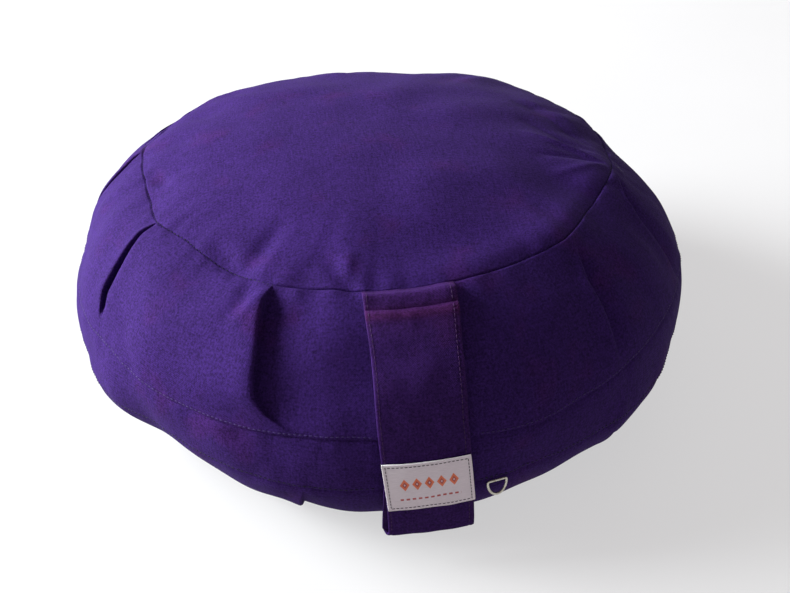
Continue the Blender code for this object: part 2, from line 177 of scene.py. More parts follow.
class Waves:
    """Band-limited smooth noise: a sum of sine waves with seeded directions, lengths and phases."""

    def __init__(self, seed: int, shortest: float, longest: float, count: int, axes: int) -> None:
        """Draws the waves.

        Args:
            seed: Seed of the draw.
            shortest: Shortest wavelength.
            longest: Longest wavelength.
            count: How many waves.
            axes: Number of coordinates that the noise depends on.
        """
        draw = np.random.default_rng(seed)
        length = np.exp(draw.uniform(math.log(shortest), math.log(longest), count))
        self.step = unit(draw.normal(size=(count, axes))) * (math.tau / length)[:, None]
        self.phase = draw.uniform(0.0, math.tau, count)

    def at(self, places: np.ndarray) -> np.ndarray:
        """The noise at some places: the waves' sum over the root of half their number, near -2 to 2."""
        total = np.zeros(places.shape[:-1])
        for step, phase in zip(self.step, self.phase):
            total += np.sin(places @ step + phase)
        return total / math.sqrt(len(self.phase) / 2)


@dataclass(frozen=True)
class TurnedForm:
    """The plain turned form of the filled cushion, before any sewing shows.

    The crown follows (r / R)^across + (height above the waist / crown height)^up = 1, and the
    underside is a quarter ellipse from the waist in to the base.
    """

    radius: float = 0.180
    height: float = 0.149
    waist: float = 0.056
    base_radius: float = 0.121
    base_seam: float = 0.0026
    across: float = 2.58
    up: float = 2.2
    top_seam_radius: float = 0.1286
    stitched_seam: float = 0.079
    fly_seam: float = 0.048
    foot: tuple = ((0.1388, 0.0026), (0.1290, 0.0016), (0.1206, 0.0012), (0.1180, 0.0002), (0.1150, 0.0))

    def crown_at(self, radius: np.ndarray) -> np.ndarray:
        """Height of the crown at a radius."""
        rise = (1 - (radius / self.radius) ** self.across) ** (1 / self.up)
        return self.waist + (self.height - self.waist) * rise

    def angle_at(self, height: float) -> float:
        """The crown's own angle at a height: 0 at the waist, a quarter turn at the top."""
        return math.asin(((height - self.waist) / (self.height - self.waist)) ** (self.up / 2))

    def top_seam_height(self) -> float:
        """Height of the crown at the top seam."""
        return float(self.crown_at(self.top_seam_radius))

    def side(self, angle: np.ndarray) -> np.ndarray:
        """Points (radius, height) of the crown at its own angles."""
        radius = self.radius * np.cos(angle) ** (2 / self.across)
        return np.stack([radius, self.waist + (self.height - self.waist) * np.sin(angle) ** (2 / self.up)], 1)

    def upper_angles(self) -> tuple:
        """The crown's own angles at the two seams of the upper band."""
        return self.angle_at(self.top_seam_height()), self.angle_at(self.stitched_seam)

    def under_angles(self) -> tuple:
        """The underside's own angles at the two seams of the lower band."""
        heights = (self.fly_seam, self.base_seam)
        return tuple(math.asin((self.waist - height) / self.waist) for height in heights)

    def line(self) -> np.ndarray:
        """Dense points (radius, height) of the form, from the middle of the crown to that of the base."""
        panel = np.linspace(0.0, self.top_seam_radius, PANEL_POINTS)
        angle = np.linspace(self.upper_angles()[0], 0.0, 900)[1:]
        under = np.linspace(0.0, self.under_angles()[1], 700)[1:]
        in_to_base = self.base_radius + (self.radius - self.base_radius) * np.cos(under)
        parts = [
            np.stack([panel, self.crown_at(panel)], 1),
            self.side(angle),
            np.stack([in_to_base, self.waist * (1 - np.sin(under))], 1),
            rounded_line(self.foot),
            np.stack([np.linspace(0.1140, 0.0, 120), np.zeros(120)], 1),
        ]
        line = np.vstack(parts)
        apart = np.hypot(*np.diff(line, axis=0).T)
        return line[np.concatenate([[True], apart > 1e-6])]


class Fold(Enum):
    """Section across a knife pleat, left to right from outside, in fold depths.

    Each row is a column's flat place from the lip, its folded place along the surface, and how far
    out from the surface it comes.
    """

    DEEP = (
        (-4.6, -4.6, 0.0), (-3.0, -3.0, 0.07), (-1.6, -1.6, 0.21), (-0.70, -0.67, 0.34),
        (-0.22, -0.14, 0.35), (-0.04, 0.03, 0.22), (0.10, -0.10, 0.0), (0.24, -0.22, -0.26),
        (0.42, -0.12, -0.41), (0.72, 0.30, -0.42), (1.20, 0.95, -0.39), (1.90, 1.75, -0.35),
        (2.80, 2.74, -0.29), (4.00, 4.00, -0.21), (5.40, 5.40, -0.12), (7.00, 7.00, -0.05),
        (8.40, 8.40, 0.0),
    )
    SLIT = (
        (-1.8, -1.8, 0.0), (-0.90, -0.90, 0.06), (-0.40, -0.37, 0.13), (-0.14, -0.07, 0.11),
        (0.00, 0.03, 0.0), (0.14, -0.08, -0.28), (0.32, -0.16, -0.68), (0.52, 0.02, -0.98),
        (0.72, 0.26, -0.80), (0.90, 0.42, -0.36), (1.10, 0.64, -0.05), (1.50, 1.22, 0.06),
        (2.20, 2.12, 0.03), (3.2, 3.2, 0.0),
    )
    SOFT = (
        (-2.2, -2.2, 0.0), (-1.2, -1.2, 0.05), (-0.55, -0.52, 0.15), (-0.18, -0.11, 0.16),
        (0.00, 0.03, 0.04), (0.18, 0.0, -0.22), (0.42, 0.14, -0.52), (0.85, 0.62, -0.62),
        (1.40, 1.28, -0.44), (2.20, 2.18, -0.18), (3.4, 3.4, 0.0),
    )

    def section(self) -> np.ndarray:
        """The section as a smooth line of flat, along and out places."""
        return rounded_line(self.value).T


@dataclass(frozen=True)
class Pleat:
    """One knife pleat, whose fold runs down the upper band and, shallower, down the underside.

    The lip is given as (down, azimuth) places on the upper band. The opening rises from the top seam
    over `opens`, and closes again over `closes`.
    """

    lip: tuple
    base: float
    depth: float
    under_depth: float
    fold: Fold = Fold.SOFT
    opens: float = 0.42
    sinks: float = 0.24
    tip: float = 0.30
    closes: tuple = (0.62, 0.96)
    spread: float = 1.0

    def azimuths(self, upper: np.ndarray, lower: np.ndarray) -> np.ndarray:
        """Azimuth of the lip at each level, from its share down the upper and down the lower band."""
        shares, places = np.array(self.lip, float).T
        return np.interp(upper, shares, places) + (self.base - places[-1]) * lower

    def opening(self, upper: np.ndarray, lower: np.ndarray) -> tuple:
        """How wide and how deep the fold is at each level. It is soon deep, and widens more slowly.

        Args:
            upper: Share down the upper band.
            lower: Share down the lower band.

        Returns:
            The scale along the surface and the scale out of it.
        """
        first, last = self.closes
        shut = (1 - smooth((upper - first) / (last - first))) * (lower <= 0)
        wide = (self.tip + (1 - self.tip) * smooth(upper / self.opens)) * smooth(upper / 0.05)
        deep = smooth(upper / self.sinks) ** 0.8
        below = smooth(lower / 0.40) * (1 - smooth((lower - 0.75) / 0.25)) * self.under_depth
        return self.depth * wide * shut**0.2 + below, self.depth * deep * shut + below


@dataclass(frozen=True)
class Lump:
    """A soft swelling or dent of the filling: a bell curve over the distance from a point."""

    azimuth: float
    height: float
    reach: float
    push: float


@dataclass(frozen=True)
class Furrow:
    """A soft valley or ridge in the cloth between two places, each an azimuth and a distance down.

    The distance down is measured over the form from the middle of the crown. The push is a bell curve
    across the line between the places, and fades towards its ends.
    """

    start: tuple
    end: tuple
    width: float
    push: float


PLEATS = (
    Pleat(((0, -141.0), (1, -138.0)), -141.0, 0.0050, 0.0034, Fold.SOFT, opens=0.5),
    Pleat(((0, -106.0), (0.5, -102.0), (1, -101.5)), -104.0, 0.0074, 0.0030, Fold.SLIT, sinks=0.14),
    Pleat(
        ((0, -67.2), (0.12, -68.3), (0.3, -67.6), (0.5, -66.6), (0.63, -66.2), (0.74, -64.8), (1, -63.0)),
        -66.0, 0.0069, 0.0042, Fold.SLIT, opens=0.60, sinks=0.08, tip=0.42, closes=(0.68, 0.84),
    ),
    Pleat(
        (
            (0, -29.0), (0.12, -29.3), (0.28, -28.6), (0.5, -27.4),
            (0.64, -27.0), (0.76, -26.2), (0.86, -24.2), (1, -18.5),
        ),
        -23.0, 0.0096, 0.0036, Fold.DEEP, opens=0.42, sinks=0.18, tip=0.22, closes=(0.69, 1.0), spread=0.8,
    ),
    Pleat(
        ((0, -12.0), (1, -7.0)),
        -1.0, 0.00001, 0.0026, Fold.SOFT, opens=0.08, closes=(0.06, 0.30), spread=0.4,
    ),
    Pleat(
        ((0, 40.9), (0.13, 38.9), (0.3, 37.0), (0.5, 36.4), (0.75, 35.8), (1, 35.4)),
        36.0, 0.0050, 0.0030, Fold.SOFT,
    ),
    Pleat(((0, 73.5), (0.16, 66.0), (0.32, 63.2), (0.6, 62.6), (1, 63.4)), 66.0, 0.0054, 0.0036, Fold.SOFT),
    Pleat(((0, 105.0), (0.4, 102.5), (1, 102.0)), 103.0, 0.0066, 0.0030, Fold.SLIT, opens=0.5),
    Pleat(((0, 142.0), (0.4, 140.6), (1, 140.0)), 141.0, 0.0064, 0.0038, Fold.DEEP, opens=0.45),
    Pleat(((0, 180.5), (0.5, 179.8), (1, 179.0)), 180.0, 0.0068, 0.0032, Fold.SLIT, opens=0.55),
)

LUMPS = tuple(
    Lump(*row)
    for row in (
        (-46.0, 0.028, 0.036, -0.0078),
        (-91.0, 0.088, 0.030, -0.0036),
        (-72.0, 0.060, 0.030, -0.0012),
        (97.0, 0.104, 0.038, -0.0056),
        (176.0, 0.132, 0.058, -0.0042),
        (41.0, 0.036, 0.026, 0.0026),
        (10.0, 0.020, 0.030, 0.0014),
        (-16.0, 0.022, 0.018, 0.0012),
        (128.0, 0.062, 0.040, 0.0020),
        (-8.0, 0.100, 0.030, -0.0024),
        (12.0, 0.122, 0.024, 0.0018),
        (-63.0, 0.044, 0.020, 0.0024),
        (-56.0, 0.056, 0.016, 0.0018),
        (-140.0, 0.058, 0.040, 0.0016),
    )
)

# (azimuth, metres or share) rows: how far the seams wander, how tight the thread is, and the shoulder
TOP_DRIFT = (
    (-180.0, 0.0240), (-122.0, 0.0240), (-112.0, 0.0195), (-106.0, 0.0135), (-100.0, 0.0090),
    (-91.0, 0.0042), (-80.0, 0.0018), (-67.8, 0.0026), (-56.5, -0.0016), (-44.0, 0.0004),
    (-29.0, 0.0022), (-16.0, -0.0004), (0.0, 0.0006), (27.6, -0.0006), (38.0, 0.0008),
    (51.6, -0.0026), (64.3, -0.0010), (74.0, 0.0024), (84.0, 0.0066), (97.0, 0.0165),
    (115.0, 0.0240),
)
TOP_PULL = (
    (-150.0, 1.0), (-125.0, 0.1), (-112.0, 0.3), (-104.0, 1.0), (-72.0, 0.9), (-62.0, 0.45),
    (-38.0, 0.45), (-28.0, 2.3), (-9.0, 2.0), (12.0, 1.2), (60.0, 1.0),
)
SHOULDER = (
    (-180.0, 0.0022), (-120.0, 0.0022), (-100.0, 0.0008), (-85.0, 0.0), (-30.0, 0.0),
    (-14.0, 0.0008), (0.0, 0.0022), (14.0, 0.0042), (35.0, 0.0046), (60.0, 0.0042), (80.0, 0.0028),
    (120.0, 0.0022),
)
STITCHED_DRIFT = (
    (-90.0, 0.0), (-57.6, -0.0010), (-51.0, 0.0016), (-44.0, 0.0030), (-27.0, 0.0030),
    (-12.0, 0.0006), (0.0, 0.0020), (8.3, 0.0040), (18.0, 0.0052), (30.5, 0.0026), (41.5, 0.0),
    (49.4, -0.0020), (70.0, 0.0), (110.0, 0.0020), (150.0, -0.0016), (190.0, 0.0020),
    (230.0, -0.0010),
)


def even_run(line: np.ndarray, outward: np.ndarray, pitch: float) -> tuple:
    """Evenly spaced places along a line on a surface.

    Args:
        line: Points of the line, one row each; a closed line repeats its first.
        outward: Outward direction of the surface at each.
        pitch: Wanted distance between the places.

    Returns:
        Points, outward directions and forward directions, one row each.
    """
    length = np.concatenate([[0.0], np.cumsum(np.linalg.norm(np.diff(line, axis=0), axis=1))])
    wanted = np.linspace(0.0, length[-1], max(round(length[-1] / pitch), 2), endpoint=False)
    wanted = wanted + 0.5 * (wanted[1] - wanted[0])
    near = 2e-4
    place, ahead, back, away = (
        np.stack(lookup(at, length, part), 1)
        for at, part in ((wanted, line), (wanted + near, line), (wanted - near, line), (wanted, outward))
    )
    return place, unit(away), unit(ahead - back)


@dataclass
class Cloth:
    """The finished surface of the cover as a grid: rows run down the form, columns run round it."""

    points: np.ndarray
    down: np.ndarray

    def normals(self) -> np.ndarray:
        """Outward directions, from the cross product of the grid's two slopes."""
        ahead = np.roll(self.points, -1, axis=1) - np.roll(self.points, 1, axis=1)
        below = np.gradient(self.points, axis=0)
        return unit(np.cross(below, ahead))

    def round_run(self, down: float, pitch: float) -> tuple:
        """Evenly spaced places once round the cover, at one distance down.

        Args:
            down: Distance down the form.
            pitch: Wanted distance between the places.

        Returns:
            Points, outward directions and forward directions, one row each.
        """
        row = float(np.interp(down, self.down, np.arange(len(self.down))))
        first = int(min(row, len(self.down) - 2))
        share = row - first
        grids = (self.points, self.normals())
        rings = [grid[first] * (1 - share) + grid[first + 1] * share for grid in grids]
        ring, normal = (np.vstack([part, part[:1]]) for part in rings)
        return even_run(ring, normal, pitch)


@dataclass
class Cover:
    """The filled cover: a closed padded form whose pleats, seams and wrinkles are worked out on a grid."""

    form: TurnedForm = field(default_factory=TurnedForm)
    row_count: int = 158
    column_count: int = 620
    swell: float = 0.0012
    corner: float = 0.0020
    full_sector: float = 22.0
    top_draw: float = 0.0016
    stitched_draw: float = 0.0011
    fly_draw: float = 0.0013
    base_draw: float = 0.0014
    panel_dip: float = 0.0008
    lump_fade: float = 0.020
    filling_swell: float = 0.00045
    seam_pucker: float = 0.00042

    def __post_init__(self) -> None:
        """Works out the form's line, its outward directions, and where the seams are down it."""
        self.line = self.form.line()
        steps = np.hypot(*np.diff(self.line, axis=0).T)
        self.distance = np.concatenate([[0.0], np.cumsum(steps)])
        slope = np.gradient(self.line, self.distance, axis=0)
        self.outward = unit(np.stack([-slope[:, 1], slope[:, 0]], 1))
        heights = self.line[:, 1]
        radii, downs = self.line[:PANEL_POINTS, 0], self.distance[:PANEL_POINTS]
        self.top_seam = float(np.interp(self.form.top_seam_radius, radii, downs))
        middle = self.distance > self.top_seam
        self.stitched_seam, self.fly_seam, self.base_seam = (
            float(np.interp(-height, -heights[middle], self.distance[middle]))
            for height in (self.form.stitched_seam, self.form.fly_seam, 0.0012)
        )
        self.length = float(self.distance[-1])

    def rows(self) -> np.ndarray:
        """Distances down of the rows, closer together by the seams and wide apart on the panels."""
        place = np.linspace(0.0, self.length, 6000)
        spacing = np.interp(
            place,
            [0, 0.07, 0.105, self.base_seam - 0.004, self.base_seam + 0.02, self.length],
            [0.009, 0.0045, 0.0021, 0.0021, 0.010, 0.028],
        )
        seams = (self.top_seam, self.stitched_seam, self.fly_seam, self.base_seam)
        for seam, fine in zip(seams, (0.00038, 0.0004, 0.0004, 0.0009)):
            spacing = spacing + (np.minimum(fine, spacing) - spacing) * bell(place - seam, 0.0024)
        total = np.concatenate([[0.0], np.cumsum(1.0 / spacing[:-1])])
        return np.interp(np.linspace(0.0, total[-1], self.row_count), total, place)

    def columns(self, lips: np.ndarray) -> np.ndarray:
        """Reference azimuths of the columns, closer together by the pleats.

        Args:
            lips: Reference azimuth of each pleat's lip.

        Returns:
            Azimuths from the first lip, once round.
        """
        place = np.linspace(0.0, 360.0, 7200, endpoint=False) + lips[0] - 20.0
        density = np.full(len(place), 1.0)
        for lip, pleat in zip(lips, PLEATS):
            across = np.radians((place - lip + 180.0) % 360.0 - 180.0) * self.form.radius
            reach = max(pleat.depth, 0.003)
            density = np.maximum(density, 1.0 + 2.6 * bell(across - 0.35 * reach, 1.15 * reach))
        total = np.concatenate([[0.0], np.cumsum(density)])
        edge = np.append(place, place[0] + 360.0)
        return np.interp(np.linspace(0.0, total[-1], self.column_count, endpoint=False), total, edge)

    def shape(self, furrows: tuple) -> Cloth:
        """Works out the whole cover.

        Each point is the plain form's point, moved out along the form's outward direction by the sum
        of the folds, the swell between pleats, the seam channels, the filling's lumps, the furrows and
        the small puckers.

        Args:
            furrows: Soft valleys and ridges to press in.

        Returns:
            The finished grid.
        """
        down = self.rows()
        radius, height = lookup(down, self.distance, self.line)
        first, last = self.form.upper_angles()
        share = np.clip((height - self.form.waist) / (self.form.height - self.form.waist), 0, 1)
        upper = np.clip((np.arcsin(share ** (self.form.up / 2)) - first) / (last - first), 0, 1)
        first, last = self.form.under_angles()
        share = np.clip((self.form.waist - height) / self.form.waist, 0, 1)
        lower = np.clip((np.arcsin(share) - first) / (last - first), 0, 1)
        lips = np.stack([pleat.azimuths(upper, lower) for pleat in PLEATS], 1)

        azimuth = self.follow_lips(lips)
        moved = down[:, None] + self.drift(azimuth, down)
        spread_radius, spread_height = lookup(moved, self.distance, self.line)
        out_across, out_up = lookup(moved, self.distance, self.outward)
        push = self.between_pleats(azimuth, lips, down, upper, lower)
        azimuth, push = self.fold(azimuth, push, lips, radius, upper, lower)
        plain = around(azimuth, spread_radius, spread_height)
        push += self.seam_channels(down)[:, None] + self.top_channel(azimuth, down)
        push += round_table(SHOULDER, azimuth) / np.cosh((down - self.top_seam + 0.005) / 0.010)[:, None]
        push += self.filling(plain) * smooth(height / self.lump_fade)[:, None]
        push += self.pressed(plain, furrows)
        push += self.puckers(azimuth, down)
        push[[0, -1]] = push[[0, -1]].mean(axis=1, keepdims=True)
        flat = smooth(height / 0.0012)[:, None]
        push *= np.where(down[:, None] > self.base_seam, flat, 1.0)
        raised = np.maximum(spread_height + push * out_up, 0.0)
        points = around(azimuth, spread_radius + push * out_across, raised)
        return Cloth(points, down)

    def drift(self, azimuth: np.ndarray, down: np.ndarray) -> np.ndarray:
        """How far down the form the top and stitched seams wander from their levels at each azimuth."""
        shift = np.zeros(azimuth.shape)
        for seam, before, after, table in (
            (self.top_seam, 0.060, 0.034, TOP_DRIFT),
            (self.stitched_seam, 0.034, 0.027, STITCHED_DRIFT),
        ):
            beyond = down - seam
            share = 1 - smooth(np.where(beyond < 0, -beyond / before, beyond / after))
            shift += share[:, None] * round_table(table, azimuth)
        return shift

    def follow_lips(self, lips: np.ndarray) -> np.ndarray:
        """Azimuth of every point where all pleats are closed: columns lean with the lips beside them.

        A column between two lips takes the two lips' shifts from their reference, in shares that ease
        from one to the other.
        """
        reference = lips[len(lips) // 2]
        columns = self.columns(reference)
        ends = np.concatenate([[reference[-1] - 360.0], reference, [reference[0] + 360.0]])
        where = (columns - reference[0]) % 360.0 + reference[0]
        before = np.clip(np.searchsorted(ends, where, side="right") - 1, 0, len(ends) - 2)
        share = smooth((where - ends[before]) / (ends[before + 1] - ends[before]))
        shift = lips - reference
        shift = np.concatenate([shift[:, -1:], shift, shift[:, :1]], 1)
        return columns + shift[:, before] * (1 - share) + shift[:, before + 1] * share

    def between_pleats(
        self, azimuth: np.ndarray, lips: np.ndarray, down: np.ndarray, upper: np.ndarray, lower: np.ndarray
    ) -> np.ndarray:
        """Push of the cloth between two pleats: it swells out in a half wave, and the top seam draws in.

        Args:
            azimuth: Azimuth of every point.
            lips: Azimuth of each lip at each level.
            down: Distance down of each level.
            upper: Share down the upper band of each level.
            lower: Share down the lower band of each level.

        Returns:
            The push of every point.
        """
        near = smooth((down - 0.056) / (self.top_seam - 0.056))
        crest = self.swell * (np.sin(math.pi * upper) + 0.6 * np.sin(math.pi * lower))
        crest += 0.35 * self.swell * (upper >= 1) * (lower <= 0)
        crest -= self.corner * np.where(down < self.top_seam, near, (1 - upper) ** 2 * (upper < 1))
        push = np.repeat(-self.panel_dip * (near * (down < self.top_seam))[:, None], azimuth.shape[1], axis=1)
        for index in range(len(PLEATS)):
            after = (index + 1) % len(PLEATS)
            start = lips[:, index] + math.degrees(0.022 / self.form.radius) * PLEATS[index].spread
            span = (lips[:, after] - math.degrees(0.012 / self.form.radius) - start) % 360.0
            share = ((azimuth - start[:, None]) % 360.0) / span[:, None]
            wave = np.sin(math.pi * share) * (share < 1.0)
            push += wave * (crest * np.minimum(span / self.full_sector, 1.0))[:, None]
        return push

    def fold(
        self,
        azimuth: np.ndarray,
        push: np.ndarray,
        lips: np.ndarray,
        radius: np.ndarray,
        upper: np.ndarray,
        lower: np.ndarray,
    ) -> tuple:
        """Folds the columns by each lip into the pleat's section, scaled by its depth at each level.

        Args:
            azimuth: Azimuth of every point with the pleats closed.
            push: Push of every point so far.
            lips: Azimuth of each lip at each level.
            radius: Radius of each level.
            upper: Share down the upper band of each level.
            lower: Share down the lower band of each level.

        Returns:
            The folded azimuths and pushes.
        """
        reach = np.maximum(radius, self.form.top_seam_radius * 0.8)[:, None]
        folded = azimuth.copy()
        for index, pleat in enumerate(PLEATS):
            wide, deep = (np.maximum(part, 1e-6)[:, None] for part in pleat.opening(upper, lower))
            flat, along, out = pleat.fold.section()
            across = np.radians((azimuth - lips[:, index : index + 1] + 180.0) % 360.0 - 180.0) * reach
            place = np.clip(across / wide, flat[0], flat[-1])
            turned = np.minimum(deep / (0.55 * wide), 1.0)
            folded += np.degrees((np.interp(place, flat, along) - place) * wide * turned / reach)
            push = push + np.interp(place, flat, out) * deep
        return folded, push

    def seam_channels(self, down: np.ndarray) -> np.ndarray:
        """Push of the sewing at each level, the same all round.

        It is the broad hollow along the top seam, the channels of the topstitched seams with the edge
        that steps in under each, and the base seam's.
        """
        push = -self.top_draw * 0.50 * np.exp(-np.abs(down - self.top_seam) / 0.0065)
        for seam, draw in ((self.stitched_seam, self.stitched_draw), (self.fly_seam, self.fly_draw)):
            below = down - seam
            push += 0.0003 * smooth(1 - np.abs(below + 0.0020) / 0.0030)
            push -= draw * np.where(below < 0, np.exp(below / 0.00025), np.exp(-below / 0.0022))
            push -= 0.00028 * bell(below + 0.0016, 0.00055)
        push -= self.base_draw * 0.5 * bell(down - self.base_seam, 0.0022)
        return push

    def top_channel(self, azimuth: np.ndarray, down: np.ndarray) -> np.ndarray:
        """Push of the top seam's narrow channel and the ridge beside it, tighter where the thread pulls."""
        beyond = down - self.top_seam
        channel = 0.00022 * bell(beyond + 0.0011, 0.0006)
        channel = channel - 0.28 * self.top_draw * np.exp(-np.abs(beyond) / 0.00034)
        return channel[:, None] * round_table(TOP_PULL, azimuth)

    def filling(self, plain: np.ndarray) -> np.ndarray:
        """Push of the filling: its named lumps and dents, and a faint unevenness all over."""
        push = np.zeros(plain.shape[:-1])
        for lump in LUMPS:
            side = float(np.interp(-lump.height, -self.line[400:, 1], self.line[400:, 0]))
            middle = around(np.array(lump.azimuth), side, lump.height)
            push += lump.push * bell(np.linalg.norm(plain - middle, axis=-1), lump.reach)
        return push + self.filling_swell * Waves(SEED, 0.028, 0.080, 48, 3).at(plain)

    def pressed(self, plain: np.ndarray, furrows: tuple) -> np.ndarray:
        """Push of the furrows: bell curves of the distance from each furrow's line, tapered to its ends."""
        push = np.zeros(plain.shape[:-1])
        for furrow in furrows:
            start, end = (self.place(*place) for place in (furrow.start, furrow.end))
            way = end - start
            share = ((plain - start) @ way) / (way @ way)
            nearest = start + np.clip(share, 0, 1)[..., None] * way
            taper = 0.35 + 0.65 * np.sin(math.pi * np.clip(share * 0.86 + 0.07, 0, 1))
            push += furrow.push * taper * bell(np.linalg.norm(plain - nearest, axis=-1), furrow.width)
        return push

    def place(self, azimuth: float, down: float) -> np.ndarray:
        """The plain form's point at an azimuth and a distance down."""
        radius, height = lookup(down, self.distance, self.line)
        return around(np.array(azimuth), radius, height)

    def puckers(self, azimuth: np.ndarray, down: np.ndarray) -> np.ndarray:
        """Push of the small ripples that stand across each seam and die away from it."""
        angle = np.radians(azimuth)
        ring = np.stack([np.sin(angle), np.cos(angle)], -1)
        push = np.zeros(azimuth.shape)
        rows = (
            (self.top_seam, 0.060, 1.0, 0.0075),
            (self.stitched_seam, 0.045, 0.75, 0.0060),
            (self.fly_seam, 0.045, 0.8, 0.0060),
        )
        for index, (seam, shortest, share, reach) in enumerate(rows):
            for side in (-1, 1):
                waves = Waves(SEED + 10 * index + side, shortest, shortest * 3.2, 30, 2).at(ring)
                beyond = np.abs(down - seam)
                fade = np.exp(-beyond / reach) * (1 - np.exp(-beyond / 0.0012)) * ((down - seam) * side > 0)
                push += self.seam_pucker * share * waves * fade[:, None]
        return push

    def mesh(self, cloth: Cloth) -> bpy.types.Mesh:
        """The closed mesh of a finished grid, with a cloth map in metres.

        The map is the plan (x, y) on the two round panels, and (way round, distance down) on the bands.

        Args:
            cloth: The finished grid.

        Returns:
            The mesh, its end rows closed into poles.
        """
        rows, columns = cloth.points.shape[:2]
        inner = cloth.points[1:-1].reshape(-1, 3)
        poles = cloth.points[[0, -1]].mean(axis=1)
        poles[:, :2] = 0.0
        vertices = np.vstack([inner, poles])
        quads = grid_faces(rows - 2, columns)
        column = np.arange(columns)
        beside = (column + 1) % columns
        top = np.stack([np.full(columns, len(inner)), column, beside], 1)
        foot = (rows - 3) * columns
        base = np.stack([np.full(columns, len(inner) + 1), foot + beside, foot + column], 1)
        mesh = smooth_mesh("cushion_cover", vertices, quads.tolist() + top.tolist() + base.tolist())
        self.lay_map(mesh, cloth, vertices)
        return mesh

    def lay_map(self, mesh: bpy.types.Mesh, cloth: Cloth, vertices: np.ndarray) -> None:
        """Gives the mesh its cloth map.

        Args:
            mesh: The mesh of the grid.
            cloth: The grid.
            vertices: The mesh's vertices.
        """
        rows, columns = cloth.points.shape[:2]
        corner = np.zeros(len(mesh.loops), np.int64)
        mesh.loops.foreach_get("vertex_index", corner)
        start, count = np.zeros((2, len(mesh.polygons)), np.int64)
        mesh.polygons.foreach_get("loop_start", start)
        mesh.polygons.foreach_get("loop_total", count)
        face = np.repeat(np.arange(len(start)), count)
        level = np.concatenate([np.repeat(cloth.down[1:-1], columns), [0.0, self.length]])
        middle = np.bincount(face, level[corner]) / count
        band = ((middle > self.top_seam) & (middle < self.base_seam))[face]
        angle = np.arctan2(vertices[:, 0], -vertices[:, 1])[corner]
        lead = angle[start][face]
        angle = (angle - lead + math.pi) % math.tau - math.pi + lead
        unrolled = np.stack([angle * self.form.radius, level[corner]], 1)
        flat = np.where(band[:, None], unrolled, vertices[corner, :2])
        layer = mesh.uv_layers.new(name="cloth")
        layer.uv.foreach_set("vector", flat.astype(np.float32).ravel())


@dataclass(frozen=True)
class Shader:
    """A small helper that adds nodes to one material and links them."""

    material: bpy.types.Material

    def add(self, kind: str, settings: dict | None = None, **inputs: object) -> bpy.types.Node:
        """Adds a node.

        Args:
            kind: The node's type.
            settings: Its own settings by name.
            inputs: Values or sockets for its inputs, as `feed` takes them.

        Returns:
            The new node.
        """
        node = self.material.node_tree.nodes.new(kind)
        for name, value in (settings or {}).items():
            setattr(node, name, value)
        return self.feed(node, **inputs)

    def feed(self, node: bpy.types.Node, **inputs: object) -> bpy.types.Node:
        """Sets a node's inputs.

        Args:
            node: The node.
            inputs: Values or sockets, named with underscores for spaces, or i0, i1 by place.

        Returns:
            The same node.
        """
        for name, value in inputs.items():
            numbered = name[0] == "i" and name[1:].isdigit()
            socket = node.inputs[int(name[1:])] if numbered else node.inputs[name.replace("_", " ")]
            if isinstance(value, bpy.types.NodeSocket):
                self.material.node_tree.links.new(value, socket)
            else:
                socket.default_value = value
        return node

    def math(self, operation: str, first: object, second: object = 0.0) -> bpy.types.NodeSocket:
        """Adds a Math node and gives its output."""
        return self.add("ShaderNodeMath", {"operation": operation}, i0=first, i1=second).outputs[0]

    def times(self, first: object, second: object) -> bpy.types.NodeSocket:
        """The product of two values."""
        return self.math("MULTIPLY", first, second)

    def plus(self, first: object, second: object) -> bpy.types.NodeSocket:
        """The sum of two values."""
        return self.math("ADD", first, second)

    def minus(self, first: object, second: object) -> bpy.types.NodeSocket:
        """The first value less the second."""
        return self.math("SUBTRACT", first, second)

    def blend(self, share: object, first: object, second: object) -> bpy.types.NodeSocket:
        """Adds a colour Mix node and gives its output."""
        node = self.add("ShaderNodeMix", {"data_type": "RGBA"}, i0=share, i6=first, i7=second)
        return node.outputs[2]

    def noise(
        self, place: object, scale: float, detail: float = 2.0, roughness: float = 0.5
    ) -> bpy.types.NodeSocket:
        """Adds a Noise Texture and gives its value."""
        node = self.add("ShaderNodeTexNoise", Vector=place, Scale=scale, Detail=detail, Roughness=roughness)
        return node.outputs[0]

    def ramp(
        self, value: object, low: float, high: float, start: float = 0.0, end: float = 1.0
    ) -> bpy.types.NodeSocket:
        """Adds a Map Range node from low..high to start..end and gives its output."""
        eased = {"interpolation_type": "SMOOTHSTEP"}
        return self.add("ShaderNodeMapRange", eased, i0=value, i1=low, i2=high, i3=start, i4=end).outputs[0]


def new_material(name: str) -> tuple:
    """A fresh node material.

    Args:
        name: Its name.

    Returns:
        The helper on it, and its Principled node.
    """
    material = bpy.data.materials.new(name)
    material.use_nodes = True
    return Shader(material), material.node_tree.nodes["Principled BSDF"]


